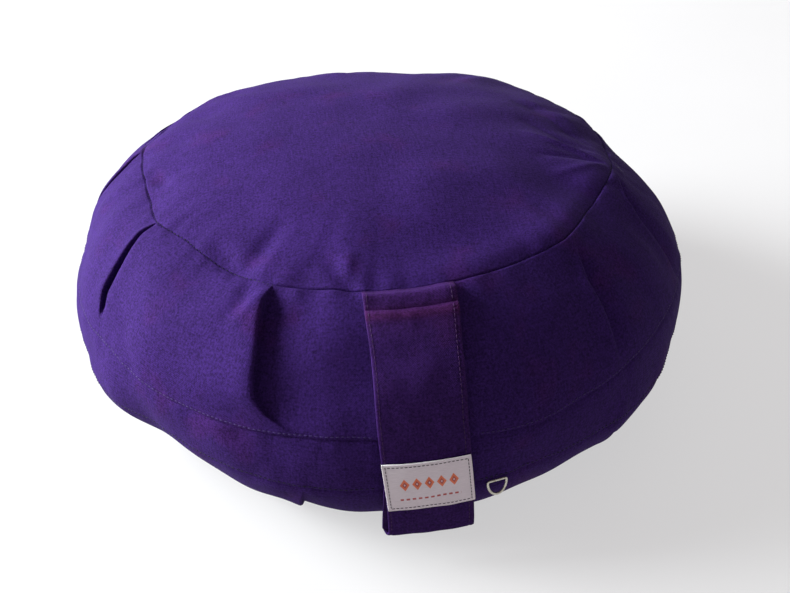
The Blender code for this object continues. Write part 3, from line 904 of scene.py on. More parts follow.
@dataclass(frozen=True)
class WovenCotton:
    """Matt plain-woven cotton: fine threads, uneven yarn, faint reddish patches and a soft sheen."""

    name: str
    color: tuple = (0.0270, 0.0100, 0.0860)
    warm: tuple = (0.0460, 0.0085, 0.0760)
    pitch: float = 0.00055
    roughness: float = 0.86
    sheen: float = 0.020
    sheen_tint: tuple = (0.52, 0.42, 0.85)
    relief: float = 0.00012
    mottle: float = 0.72
    # Share of the red tint from the strap's map, which paints highlight and shade onto the strap
    red_tint_share: float = 0.0

    def make(self) -> bpy.types.Material:
        """Builds the material: thread relief from crossed sine waves and stretched noise."""
        s, body = new_material(self.name)
        place = s.add("ShaderNodeUVMap", {"uv_map": "cloth"}).outputs[0]
        solid = s.add("ShaderNodeTexCoord").outputs["Object"]
        parts = s.add("ShaderNodeSeparateXYZ", i0=place).outputs
        wander = s.times(s.minus(s.noise(place, 60.0), 0.5), 3.0)
        turn = math.tau / (2 * self.pitch)
        warp = s.math("SINE", s.plus(s.times(parts[0], turn), wander))
        weft = s.math("SINE", s.plus(s.times(parts[1], turn), wander))
        weave = s.times(warp, weft)
        thin, long = 1 / self.pitch, 0.10 / self.pitch
        along = s.add("ShaderNodeMapping", i0=place, Scale=(thin, long, 1.0)).outputs[0]
        across = s.add("ShaderNodeMapping", i0=place, Scale=(long, thin, 1.0)).outputs[0]
        yarn = s.plus(s.noise(along, 0.55, 1.0), s.noise(across, 0.55, 1.0))
        grain = s.noise(solid, 980.0, 3.0, 0.62)
        value = s.plus(s.ramp(yarn, 0.7, 1.3, -0.16, 0.16), s.times(s.minus(grain, 0.5), 3.6))
        value = s.plus(1.0, s.times(value, self.mottle))
        patch = s.ramp(s.noise(solid, 34.0, 3.0, 0.55), 0.54, 0.74)
        tint = s.blend(s.times(patch, 0.34), (*self.color, 1.0), (*self.warm, 1.0))
        # Red tint from the strap's map: painted highlight on the ridge, painted shade near the top seam
        if self.red_tint_share > 0:
            red_tint_mask = s.add("ShaderNodeAttribute", {"attribute_name": "red_tint_and_painted_light"}).outputs["Fac"]
            tint = s.blend(s.times(red_tint_mask, self.red_tint_share), tint, (*self.warm, 1.0))
        dyed = s.add("ShaderNodeVectorMath", {"operation": "SCALE"}, i0=tint, Scale=value)
        relief = s.plus(s.times(weave, 0.45), s.times(yarn, 1.2))
        bump = s.add("ShaderNodeBump", Strength=1.0, Distance=self.relief, Height=relief)
        s.feed(body, Base_Color=dyed.outputs[0], Normal=bump.outputs[0], Roughness=self.roughness)
        s.feed(body, Sheen_Weight=self.sheen, Sheen_Roughness=0.42, Sheen_Tint=(*self.sheen_tint, 1.0))
        s.feed(body, Specular_IOR_Level=0.04)
        return s.material


@dataclass(frozen=True)
class SewingThread:
    """Twisted sewing thread with a faint gloss."""

    name: str
    color: tuple
    roughness: float = 0.55

    def make(self) -> bpy.types.Material:
        """Builds the material: the colour varies a little along the thread."""
        s, body = new_material(self.name)
        place = s.add("ShaderNodeTexCoord").outputs["Object"]
        share = s.ramp(s.noise(place, 700.0, 2.0), 0.3, 0.7, 0.75, 1.2)
        dyed = s.add("ShaderNodeVectorMath", {"operation": "SCALE"}, i0=self.color, Scale=share)
        s.feed(body, Base_Color=dyed.outputs[0], Roughness=self.roughness, Specular_IOR_Level=0.15)
        return s.material


@dataclass(frozen=True)
class BrightWire:
    """Nickel-plated wire, brushed a little dull by handling."""

    name: str = "nickel_wire"
    color: tuple = (0.46, 0.44, 0.38)

    def make(self) -> bpy.types.Material:
        """Builds the material: the roughness and the colour vary in small patches."""
        s, body = new_material(self.name)
        place = s.add("ShaderNodeTexCoord").outputs["Object"]
        patch = s.noise(place, 420.0, 4.0, 0.6)
        tint = s.blend(s.ramp(patch, 0.45, 0.75), (*self.color, 1.0), (0.26, 0.22, 0.15, 1.0))
        s.feed(body, Base_Color=tint, Roughness=s.ramp(patch, 0.3, 0.8, 0.22, 0.42), Metallic=1.0)
        return s.material


def add_piece(name: str, mesh: bpy.types.Mesh, material: bpy.types.Material) -> bpy.types.Object:
    """Adds a piece to the scene, on the cushion's one body.

    Args:
        name: The piece's name.
        mesh: Its mesh.
        material: Its finish.

    Returns:
        The new object.
    """
    piece = in_scene(name, mesh)
    mesh.materials.append(material)
    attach(piece, "root")
    LOG.info("%s: %d faces", name, len(mesh.polygons))
    return piece


@dataclass
class Stitches:
    """A run of machine stitches: short bent capsules of thread that dip into the cloth at both ends."""

    length: float = 0.0018
    radius: float = 0.00022
    lift: float = 0.00012
    sink: float = 0.00030
    sides: int = 6

    def mesh(self, name: str, place: np.ndarray, outward: np.ndarray, forward: np.ndarray) -> bpy.types.Mesh:
        """Makes one mesh of all the stitches.

        Along a stitch, t goes from -1 to 1; its middle line is at t times half the length, raised by
        lift less (lift + sink) t^4, and its radius is the thread's times the root of 1 - t^6.

        Args:
            name: Name of the mesh.
            place: Middle of each stitch, on the cloth.
            outward: Outward direction at each.
            forward: Direction of each stitch.

        Returns:
            The joined mesh.
        """
        t = np.array([-1.0, -0.8, -0.35, 0.35, 0.8, 1.0])
        thick = self.radius * np.sqrt(np.maximum(1 - np.abs(t) ** 6, 0.04))
        rise = self.lift - (self.lift + self.sink) * t**4
        angle = np.linspace(0.0, math.tau, self.sides, endpoint=False)
        sideways = unit(np.cross(forward, outward))
        run = (t * self.length / 2)[:, None]
        line = place[:, None] + forward[:, None] * run + outward[:, None] * rise[:, None]
        out, aside = np.cos(angle)[:, None, None], np.sin(angle)[:, None, None]
        ring = out * outward[None, :] + aside * sideways[None, :]
        points = line[:, :, None] + thick[None, :, None, None] * np.moveaxis(ring, 0, 1)[:, None]
        count, steps, sides = points.shape[:3]
        first = (np.arange(count) * steps * sides)[:, None, None]
        faces = (grid_faces(steps, sides)[None] + first).reshape(-1, 4)
        near = np.arange(sides)
        caps = np.stack([near, (steps - 1) * sides + near[::-1]])
        ends = (caps[None] + first).reshape(-1, sides)
        return smooth_mesh(name, points, faces[:, ::-1].tolist() + ends[:, ::-1].tolist())


@dataclass
class StrapLoop:
    """The looped strap: one doubled band whose two ends are sewn into the top seam."""

    cover: Cover
    cloth: Cloth
    width: float = 0.042
    thickness: float = 0.0012
    clearance: float = 0.0003
    top_flare: float = 0.0016
    flare_reach: float = 0.016
    foot: float = 0.0222
    layer_gap: float = 0.0009
    foot_opening: float = 0.0012
    skew: float = 0.0026
    skew_start: float = 0.70
    tuck: float = 0.004
    sewn_reach: float = 0.0050
    sewn_sink: float = 0.0012
    dip_places: int = 9
    dip_reach: float = 0.055
    ridge: float = 0.0006
    ridge_down: float = 0.0142
    ridge_reach: float = 0.0022
    groove: float = 0.0005
    bulk: float = 0.0014
    rest_reach: float = 0.006
    near_reach: float = 0.0008
    beside: float = 0.9
    down_steps: int = 90
    hang_steps: int = 30
    fold_steps: int = 14
    across_steps: int = 44

    def __post_init__(self) -> None:
        """Works out the loop's middle line, and how its sewn ends follow the cover."""
        self.push = self.cover_push()
        self.points, self.skews, self.front_from = self.loop()
        self.dips = self.settling()

    def at_height(self, height: np.ndarray, table: np.ndarray) -> tuple:
        """Columns of a table with a row for each point of the cover's line, at heights on its side."""
        return lookup(-height, -self.cover.line[SIDE_OF_LINE, 1], table[SIDE_OF_LINE])

    def sway(self, height: np.ndarray) -> np.ndarray:
        """How far the strap has swung sideways at a height: it eases from one side to the other."""
        return 0.0022 + (-0.0012 - 0.0022) * smooth((height - 0.025) / 0.070)

    def cover_push(self) -> np.ndarray:
        """How far each point of the cover stands out of its plain form."""
        radius, height = lookup(self.cloth.down, self.cover.distance, self.cover.line)
        out = np.stack(lookup(self.cloth.down, self.cover.distance, self.cover.outward), 1)
        real = np.hypot(self.cloth.points[..., 0], self.cloth.points[..., 1]) - radius[:, None]
        return real * out[:, :1] + (self.cloth.points[..., 2] - height[:, None]) * out[:, 1:]

    def settling(self) -> np.ndarray:
        """How far each place across and along the loop drops towards the cover near the seam.

        The drop is the cover's own push beside the strap's middle less the most under the strap, and
        it fades with the distance from the seam.

        Returns:
            Drops along the form's outward direction, for `dip_places` across and each step along.
        """
        angle = azimuth_of(self.cloth.points)
        (down,) = self.at_height(self.points[:, 1], self.cover.distance[:, None])
        most = self.proud(down)
        fade = 1 - smooth((down - self.cover.top_seam - 0.004) / self.dip_reach)
        drops = []
        for across in np.linspace(0.0, 1.0, self.dip_places):
            sideways = (across - 0.5) * self.width + self.sway(self.points[0, 1])
            middle = np.degrees(sideways / self.points[0, 0])
            beside = bell(angle - middle, self.beside)
            local = (self.push * beside).sum(axis=1) / beside.sum(axis=1)
            drops.append(np.minimum(np.interp(down, self.cloth.down, local) - most, 0.0) * fade)
        return np.array(drops)

    def proud(self, down: np.ndarray) -> np.ndarray:
        """How far the cover stands out of its plain form under the strap, at distances down."""
        radius = np.interp(self.cloth.down, self.cover.distance, self.cover.line[:, 0])
        reach = np.degrees(0.54 * self.width / np.maximum(radius, 0.05))[:, None]
        under = np.abs(azimuth_of(self.cloth.points)) < reach
        most = np.where(under, self.push, -1.0).max(axis=1)
        apart = np.abs(self.cloth.down[:, None] - self.cloth.down)
        wide = np.array([most[row < self.rest_reach].max() for row in apart])
        even = np.array([wide[row < self.rest_reach].mean() for row in apart])
        near = np.array([most[row < self.near_reach].max() for row in apart])
        settled = smooth((down - self.cover.top_seam - 0.002) / 0.009)
        near, even = (np.interp(down, self.cloth.down, part) for part in (near, even))
        return near * (1 - settled) + even * settled

    def layer(self, offset: float, front: bool) -> np.ndarray:
        """Points (radius, height) of one layer, down over the side and then straight down to the fold.

        Args:
            offset: Distance of the layer's middle from the cover.
            front: Whether it is the front layer, which has the ridge.

        Returns:
            The points, from the seam down.
        """
        form = self.cover.form
        first = form.upper_angles()[0]
        angle = np.linspace(first - self.tuck, 0.0, self.down_steps + 1)
        radius, height = form.side(angle).T
        (down,) = self.at_height(height, self.cover.distance[:, None])
        outward = np.stack(lookup(down, self.cover.distance, self.cover.outward), 1)
        beyond = np.hypot(radius - radius[0], height - height[0])
        ridge = 0.0
        if front:
            ridge = self.ridge * bell(beyond - self.ridge_down, self.ridge_reach)
            ridge = ridge - self.groove * bell(beyond - 0.68 * self.ridge_down, self.ridge_reach)
        ridge = ridge + self.bulk * (1.0 if front else 0.4) * bell(beyond - 0.008, 0.017)
        sewn = smooth(beyond / self.sewn_reach)
        lift = self.proud(down) + (self.clearance + ridge) * sewn + offset * (0.45 + 0.55 * sewn)
        lift = lift - self.sewn_sink * (1 - sewn)
        side = np.stack([radius, height], 1) + outward * lift[:, None]
        bend = (self.thickness + self.layer_gap + self.foot_opening) / 2
        share = np.linspace(0.0, 1.0, self.hang_steps + 1)[1:]
        foot = self.foot + self.thickness / 2 + bend
        open_out = self.foot_opening * smooth(share) if front else 0.0 * share
        hang = np.stack([side[:, 0].max() + open_out, side[-1, 1] + (foot - side[-1, 1]) * share], 1)
        return np.vstack([side, hang])

    def loop(self) -> tuple:
        """The whole way of the band: down the back layer, round the fold and up the front layer.

        Returns:
            Points (radius, height), the sideways skew at each, and the first index of the front layer.
        """
        back = self.layer(self.thickness / 2, False)
        front = self.layer(self.thickness * 1.5 + self.layer_gap, True)
        centre = (back[-1] + front[-1]) / 2
        bend = (front[-1, 0] - back[-1, 0]) / 2
        angle = np.linspace(0.0, math.pi, self.fold_steps + 1)[1:-1]
        fold = centre + bend * np.stack([-np.cos(angle), -np.sin(angle)], 1)
        down = np.linspace(0.0, 1.0, len(back))
        skews = np.concatenate(
            [
                -self.skew * smooth((down - self.skew_start) / (1 - self.skew_start)),
                -self.skew * (1 - np.linspace(0.0, 1.0, self.fold_steps + 1)[1:-1]),
                np.zeros(len(front)),
            ]
        )
        return np.vstack([back, fold, front[::-1]]), skews, len(back) + len(fold)

    def surface(self, across: np.ndarray, index: np.ndarray, lift: np.ndarray) -> np.ndarray:
        """Points of the band.

        Args:
            across: Place across the width, from 0 to 1.
            index: Step along the loop, which may fall between two.
            lift: How far to move out from the band's middle line.

        Returns:
            The points.
        """
        steps = np.arange(len(self.points))
        radius, height = lookup(index, steps, self.points)
        part = np.clip(across, 0, 1) * (self.dip_places - 1)
        first = np.minimum(part.astype(int), self.dip_places - 2)
        low, high = (
            np.array([np.interp(index, steps, row) for row in self.dips])[pick, *np.indices(index.shape)]
            for pick in (first, first + 1)
        )
        drop = low + (high - low) * (part - first)
        away = self.at_height(height, self.cover.outward)
        slope = unit(np.gradient(self.points, axis=0))
        outward = (np.interp(index, steps, slope[:, 1]), np.interp(index, steps, -slope[:, 0]))
        seam = self.cover.form.top_seam_height()
        width = self.width + self.top_flare * smooth(1 - (seam - height) / self.flare_reach)
        sideways = (across - 0.5) * width + np.interp(index, steps, self.skews) + self.sway(height)
        out, up = (lift * outward[axis] + drop * away[axis] for axis in range(2))
        return around(np.degrees(sideways / radius), radius + out, height + up)

    def wear(self, across: np.ndarray, index: np.ndarray) -> np.ndarray:
        """Push of the hems, the stitched channels by the edges, and a soft unevenness."""
        edge = np.minimum(across, 1 - across) * self.width
        length = index / len(self.points) * 0.25
        waves = Waves(SEED + 5, 0.012, 0.050, 24, 2).at(np.stack([across * self.width, length], -1))
        push = -0.00022 * bell(edge - 0.0017, 0.0007) - 0.00030 * smooth(1 - edge / 0.0009)
        return push + 0.00016 * waves

    def mesh(self) -> bpy.types.Mesh:
        """The band as an open sheet, with its own cloth map in metres."""
        steps = len(self.points)
        places = (np.linspace(0.0, 1.0, self.across_steps), np.arange(steps, dtype=float))
        across, index = np.meshgrid(*places, indexing="ij")
        points = self.surface(across, index, self.wear(across, index))
        length = np.concatenate([[0.0], np.cumsum(np.hypot(*np.diff(self.points, axis=0).T))])
        flat = np.stack([across * self.width, np.interp(index, np.arange(steps), length)], -1)
        mesh = sheet_mesh("strap_band", points, flat)
        # Red tint per point, partly painted highlight and painted shade
        red_tint_and_painted_light = mesh.attributes.new("red_tint_and_painted_light", "FLOAT", "POINT")
        red_tint_and_painted_light.data.foreach_set("value", self.red_tint_and_painted_light(across, index).astype(np.float32).ravel())
        return mesh

    def red_tint_and_painted_light(self, across: np.ndarray, index: np.ndarray) -> np.ndarray:
        """How much red tint each point gets: a painted highlight on the ridge, painted shade near the top,
        and a little on both stitched edges.
        """
        height = np.interp(index, np.arange(len(self.points)), self.points[:, 1])
        front = index >= self.front_from
        seam = self.cover.form.top_seam_height()
        edge = np.minimum(across, 1 - across) * self.width
        # Painted highlight: red tint on the ridge's lit upper flank
        ridge = 0.65 * bell(seam - height - 0.0014, 0.0016)
        # Painted shade: a darker red tint over the top of the strap under the seam
        top = ridge + 0.22 * smooth(1 - (seam - height) / 0.012)
        return np.clip(front * top + 0.16 * bell(edge - 0.0010, 0.0008), 0, 1)

    def edge_run(self, inset: float, right: bool, pitch: float) -> tuple:
        """Places for stitches down one edge of the front layer.

        Args:
            inset: Distance from the edge.
            right: Whether it is the right edge.
            pitch: Distance between stitches.

        Returns:
            Points, outward directions and forward directions, one row each.
        """
        index = np.linspace(self.front_from + 2.0, len(self.points) - 3.0, 400)
        across = np.full(len(index), inset / self.width)
        across = 1 - across if right else across
        lift = self.wear(across, index) + self.thickness / 2
        line = self.surface(across, index, lift)
        return even_run(line, self.surface(across, index, lift + 0.001) - line, pitch)


def sheet_mesh(name: str, points: np.ndarray, flat: np.ndarray) -> bpy.types.Mesh:
    """A mesh of a grid of points, with a cloth map.

    Args:
        name: Name of the mesh.
        points: Points of the grid, two axes of places and one of coordinates.
        flat: The cloth map's coordinates for each point.

    Returns:
        The mesh.
    """
    quads = grid_faces(*points.shape[:2], ring=False)
    mesh = smooth_mesh(name, points, quads.tolist())
    layer = mesh.uv_layers.new(name="cloth")
    layer.uv.foreach_set("vector", flat.reshape(-1, 2)[quads.ravel()].astype(np.float32).ravel())
    return mesh


def give_thickness(piece: bpy.types.Object, thickness: float, bevel: float) -> None:
    """Makes an open sheet a closed one with rounded edges.

    Args:
        piece: The sheet.
        thickness: Its thickness, half to each side.
        bevel: Width of the rounding.
    """
    solid = piece.modifiers.new("cloth_thickness", "SOLIDIFY")
    solid.thickness = thickness
    solid.offset = 0.0
    solid.use_even_offset = True
    solid.use_quality_normals = True
    soft = piece.modifiers.new("soft_edges", "BEVEL")
    soft.width = bevel
    soft.segments = 2
    soft.limit_method = "ANGLE"
    soft.angle_limit = math.radians(50)


@dataclass
class Label:
    """The woven satin label across the front of the strap, with a plain border of stitches."""

    strap: StrapLoop
    width: float = 0.042
    height: float = 0.0284
    thickness: float = 0.0008
    middle: float = 0.0561
    turn: float = 1.6
    clearance: float = 0.0003
    inset: float = 0.0016

    def points(self, across: np.ndarray, up: np.ndarray, lift: float = 0.0) -> np.ndarray:
        """Points of the label.

        Args:
            across: Places across from its middle, in metres.
            up: Places up from its middle, in metres.
            lift: How far out of its own middle surface.

        Returns:
            The points, laid on the strap's front layer.
        """
        angle = math.radians(self.turn)
        right = across * math.cos(angle) - up * math.sin(angle)
        height = self.middle + across * math.sin(angle) + up * math.cos(angle)
        front = self.strap.points[self.strap.front_from :]
        radius = np.interp(height, front[:, 1], front[:, 0])
        edge = np.minimum(self.width / 2 - np.abs(across), self.height / 2 - np.abs(up))
        waves = Waves(SEED + 7, 0.010, 0.030, 16, 2).at(np.stack([across, up], -1))
        rise = self.strap.thickness / 2 + self.clearance + self.thickness / 2 + lift
        rise = rise + 0.00010 * (waves + 2.0) - 0.00012 * bell(edge - self.inset, 0.0006)
        radius = radius + rise
        return around(np.degrees((right + self.strap.sway(height)) / radius), radius, height)

    def mesh(self) -> bpy.types.Mesh:
        """The label as an open sheet with a map in metres from its middle."""
        sides = ((self.width, 64), (self.height, 44))
        places = (np.linspace(-size / 2, size / 2, count) for size, count in sides)
        across, up = np.meshgrid(*places, indexing="ij")
        return sheet_mesh("label_patch", self.points(across, up), np.stack([across, up], -1))

    def border_run(self, pitch: float) -> tuple:
        """Places for the border's stitches, once round the label inside its edge.

        Args:
            pitch: Distance between stitches.

        Returns:
            Points, outward directions and forward directions, one row each.
        """
        half = np.array([self.width, self.height]) / 2 - self.inset
        corners = np.array([(-1, -1), (1, -1), (1, 1), (-1, 1), (-1, -1)]) * half
        share = np.linspace(0.0, 4.0, 401)
        across, up = lookup(share, np.arange(5), corners)
        line = self.points(across, up, self.thickness / 2)
        return even_run(line, self.points(across, up, self.thickness / 2 + 0.001) - line, pitch)


@dataclass(frozen=True)
class WovenLabel:
    """White satin weave with a plain row of small diamonds and a thin line woven in."""

    name: str = "label_satin"
    ground: tuple = (0.74, 0.72, 0.74)
    red: tuple = (0.42, 0.035, 0.030)
    orange: tuple = (0.78, 0.16, 0.030)
    pitch: float = 0.0058
    row_height: float = 0.0022
    dash_drop: float = 0.0070
    dash_pitch: float = 0.0029
    thread_pitch: float = 0.00034

    def make(self) -> bpy.types.Material:
        """Builds the material: diamonds where |x| + |y| from their middles is small, on the label's map."""
        s, body = new_material(self.name)
        place = s.add("ShaderNodeUVMap", {"uv_map": "cloth"}).outputs[0]
        x, y = s.add("ShaderNodeSeparateXYZ", i0=place).outputs[:2]
        cell = s.minus(s.math("FRACT", s.plus(s.math("DIVIDE", x, self.pitch), 0.5)), 0.5)
        side = s.times(s.math("ABSOLUTE", cell), self.pitch)
        rise = s.math("ABSOLUTE", s.minus(y, self.row_height))
        far = s.plus(side, s.times(rise, 0.62))
        inside = s.ramp(s.math("ABSOLUTE", x), 0.0143, 0.0146, 1.0, 0.0)
        outer = s.times(s.ramp(far, 0.00215, 0.00245, 1.0, 0.0), inside)
        inner = s.times(s.ramp(far, 0.00105, 0.00130, 1.0, 0.0), inside)
        hole = s.times(s.ramp(far, 0.00035, 0.00050, 1.0, 0.0), inside)
        low = s.math("ABSOLUTE", s.plus(y, self.dash_drop))
        dash = s.ramp(s.math("SINE", s.times(x, math.tau / self.dash_pitch)), -0.35, -0.15)
        line = s.times(s.times(s.ramp(low, 0.00050, 0.00065, 1.0, 0.0), dash), inside)
        # Lighter streaks along the satin threads in the base colour: painted sheen. The same noise also
        # raises the thread relief
        sheen = s.noise(s.add("ShaderNodeMapping", i0=place, Scale=(220.0, 5200.0, 1.0)).outputs[0], 1.0, 2.0)
        white = s.blend(s.ramp(sheen, 0.3, 0.7), (*self.ground, 1.0), (0.86, 0.84, 0.86, 1.0))
        color = s.blend(outer, white, (*self.orange, 1.0))
        color = s.blend(inner, color, (*self.red, 1.0))
        color = s.blend(hole, color, (*self.ground, 1.0))
        color = s.blend(line, color, (*self.red, 1.0))
        thread = s.math("SINE", s.times(y, math.tau / self.thread_pitch))
        bump = s.add("ShaderNodeBump", Strength=1.0, Distance=0.00005, Height=s.plus(thread, sheen))
        s.feed(body, Base_Color=color, Normal=bump.outputs[0], Roughness=0.48, Sheen_Weight=0.15)
        return s.material


@dataclass
class PullRing:
    """The small D of wire under the fly seam: its straight side is on top."""

    width: float = 0.0110
    height: float = 0.0096
    wire: float = 0.00125
    corner: float = 0.0009
    azimuth: float = 11.0
    bar_height: float = 0.0474
    lean: float = 9.0
    sides: int = 14

    def outline(self) -> np.ndarray:
        """Points (across, up) of the wire's middle line, once round."""
        half = self.width / 2 - self.wire / 2
        drop = self.height - self.wire
        bar = np.stack([np.linspace(-half + self.corner, half - self.corner, 12), np.zeros(12)], 1)
        turn = np.linspace(math.pi / 2, 0.0, 7)[1:]
        round_off = self.corner * np.stack([np.cos(turn), np.sin(turn)], 1)
        right = np.array([half - self.corner, -self.corner]) + round_off
        angle = np.linspace(0.0, math.pi, 40)[1:]
        bow = np.stack([half * np.cos(angle), -self.corner - (drop - self.corner) * np.sin(angle)], 1)
        left = right[::-1][1:-1] * (-1, 1)
        return np.vstack([bar, right, bow, left])

    def mesh(self, radius: float) -> bpy.types.Mesh:
        """The wire's tube: a circle carried round the D, leaned in at the foot and turned to its azimuth.

        Args:
            radius: Distance of the bar from the upright axis.

        Returns:
            The mesh.
        """
        line = self.outline()
        forward = unit(np.roll(line, -1, axis=0) - np.roll(line, 1, axis=0))
        angle = np.linspace(0.0, math.tau, self.sides, endpoint=False)
        side = np.stack([forward[:, 1], -forward[:, 0]], 1)
        flat = line[:, None] + side[:, None] * (np.cos(angle) * self.wire / 2)[None, :, None]
        depth = np.broadcast_to(np.sin(angle) * self.wire / 2, flat.shape[:2])
        points = np.stack([flat[..., 0], depth, flat[..., 1]], -1)
        turn = Matrix.Rotation(math.radians(self.azimuth), 3, "Z")
        turn = turn @ Matrix.Rotation(math.radians(-self.lean), 3, "X")
        middle = around(np.array(self.azimuth), radius, self.bar_height)
        points = points @ np.array(turn).T + middle
        return smooth_mesh("pull_ring", points, grid_faces(*points.shape[:2], tube=True).tolist())


@dataclass
class Studio:
    """The pale floor, the soft lights and the camera."""

    focal: float = 973.9
    frame_width: float = 790.0
    distance: float = 0.61567
    elevation: float = 36.64
    azimuth: float = -7.5
    roll: float = -0.57
    target: tuple = (0.009634, 0.0, 0.029258)
    daylight: tuple = (0.95, 0.98, 1.0)

    def set_camera(self) -> None:
        """Places the camera: back along its elevation from the target, rolled, then turned to its azimuth."""
        tilt, roll = math.radians(self.elevation), math.radians(self.roll)
        back = Vector((0.0, -math.cos(tilt), math.sin(tilt)))
        level = Vector((1.0, 0.0, 0.0))
        lift = back.cross(level)
        right = level * math.cos(roll) + lift * math.sin(roll)
        up = lift * math.cos(roll) - level * math.sin(roll)
        eye = Vector(self.target) + back * self.distance
        turn = Matrix.Rotation(math.radians(self.azimuth), 4, "Z")
        stand = Matrix((right, up, back)).transposed().to_4x4()
        stand.translation = eye
        data = bpy.data.cameras.new("photo_camera")
        data.sensor_fit = "HORIZONTAL"
        data.sensor_width = 36.0
        data.lens = self.focal * 36.0 / self.frame_width
        data.clip_start = 0.02
        camera = in_scene("photo_camera", data)
        camera.matrix_world = turn @ stand
        bpy.context.scene.camera = camera

    def add_light(
        self, name: str, power: float, size: float, azimuth: float, elevation: float, distance: float
    ) -> None:
        """Adds a square soft light that looks at the cushion.

        Args:
            name: The light's name.
            power: Its power in watts.
            size: Its side.
            azimuth: Its azimuth from the strap.
            elevation: Its angle over the floor.
            distance: Its distance from the cushion's middle.
        """
        data = bpy.data.lights.new(name, "AREA")
        data.energy = power
        data.size = size
        data.color = self.daylight
        tilt = math.radians(elevation)
        middle = Vector((0.0, 0.0, 0.07))
        away = Vector(around(np.array(azimuth), math.cos(tilt), math.sin(tilt)))
        lamp = in_scene(name, data)
        lamp.location = middle + away * distance
        lamp.rotation_euler = away.to_track_quat("Z", "Y").to_euler()

    def set_stage(self) -> None:
        """Adds the floor with its round wall, the world's weak light and the lights."""
        turn = np.linspace(0.0, math.tau, 96, endpoint=False)
        profile = rounded_line(((0.0, 0.0), (2.2, 0.0), (3.4, 0.0), (4.3, 0.5), (4.6, 1.6), (4.6, 3.4)), 8)
        points = around(np.degrees(turn)[None], profile[:, :1], profile[:, 1:])
        mesh = smooth_mesh("studio_sweep", points, grid_faces(*points.shape[:2]).tolist())
        s, body = new_material("pale_paper")
        place = s.add("ShaderNodeTexCoord").outputs["Object"]
        tone = s.blend(s.noise(place, 5.0, 3.0), (0.24, 0.24, 0.24, 1.0), (0.27, 0.27, 0.27, 1.0))
        s.feed(body, Base_Color=tone, Roughness=0.9)
        s.feed(body, Emission_Color=(1.0, 1.0, 1.0, 1.0), Emission_Strength=0.55)
        mesh.materials.append(s.material)
        sweep = in_scene("studio_sweep", mesh)
        sweep.visible_diffuse = False
        world = bpy.data.worlds.new("soft_room")
        world.use_nodes = True
        nodes, links = world.node_tree.nodes, world.node_tree.links
        ground = nodes["Background"]
        way = nodes.new("ShaderNodeSeparateXYZ")
        links.new(nodes.new("ShaderNodeTexCoord").outputs["Generated"], way.inputs[0])
        height = nodes.new("ShaderNodeMapRange")
        links.new(way.outputs[2], height.inputs[0])
        for index, value in enumerate((-0.35, 0.35, 0.66, 0.30)):
            height.inputs[index + 1].default_value = value
        links.new(height.outputs[0], ground.inputs["Strength"])
        ground.inputs["Color"].default_value = (1.0, 0.86, 0.92, 1.0)
        bpy.context.scene.world = world
        self.add_light("window", 330.0, 1.6, -107.0, 21.5, 2.75)
        self.add_light("far_window", 1.1, 0.6, 152.0, 26.0, 1.2)
        bpy.context.scene.view_settings.view_transform = "Standard"


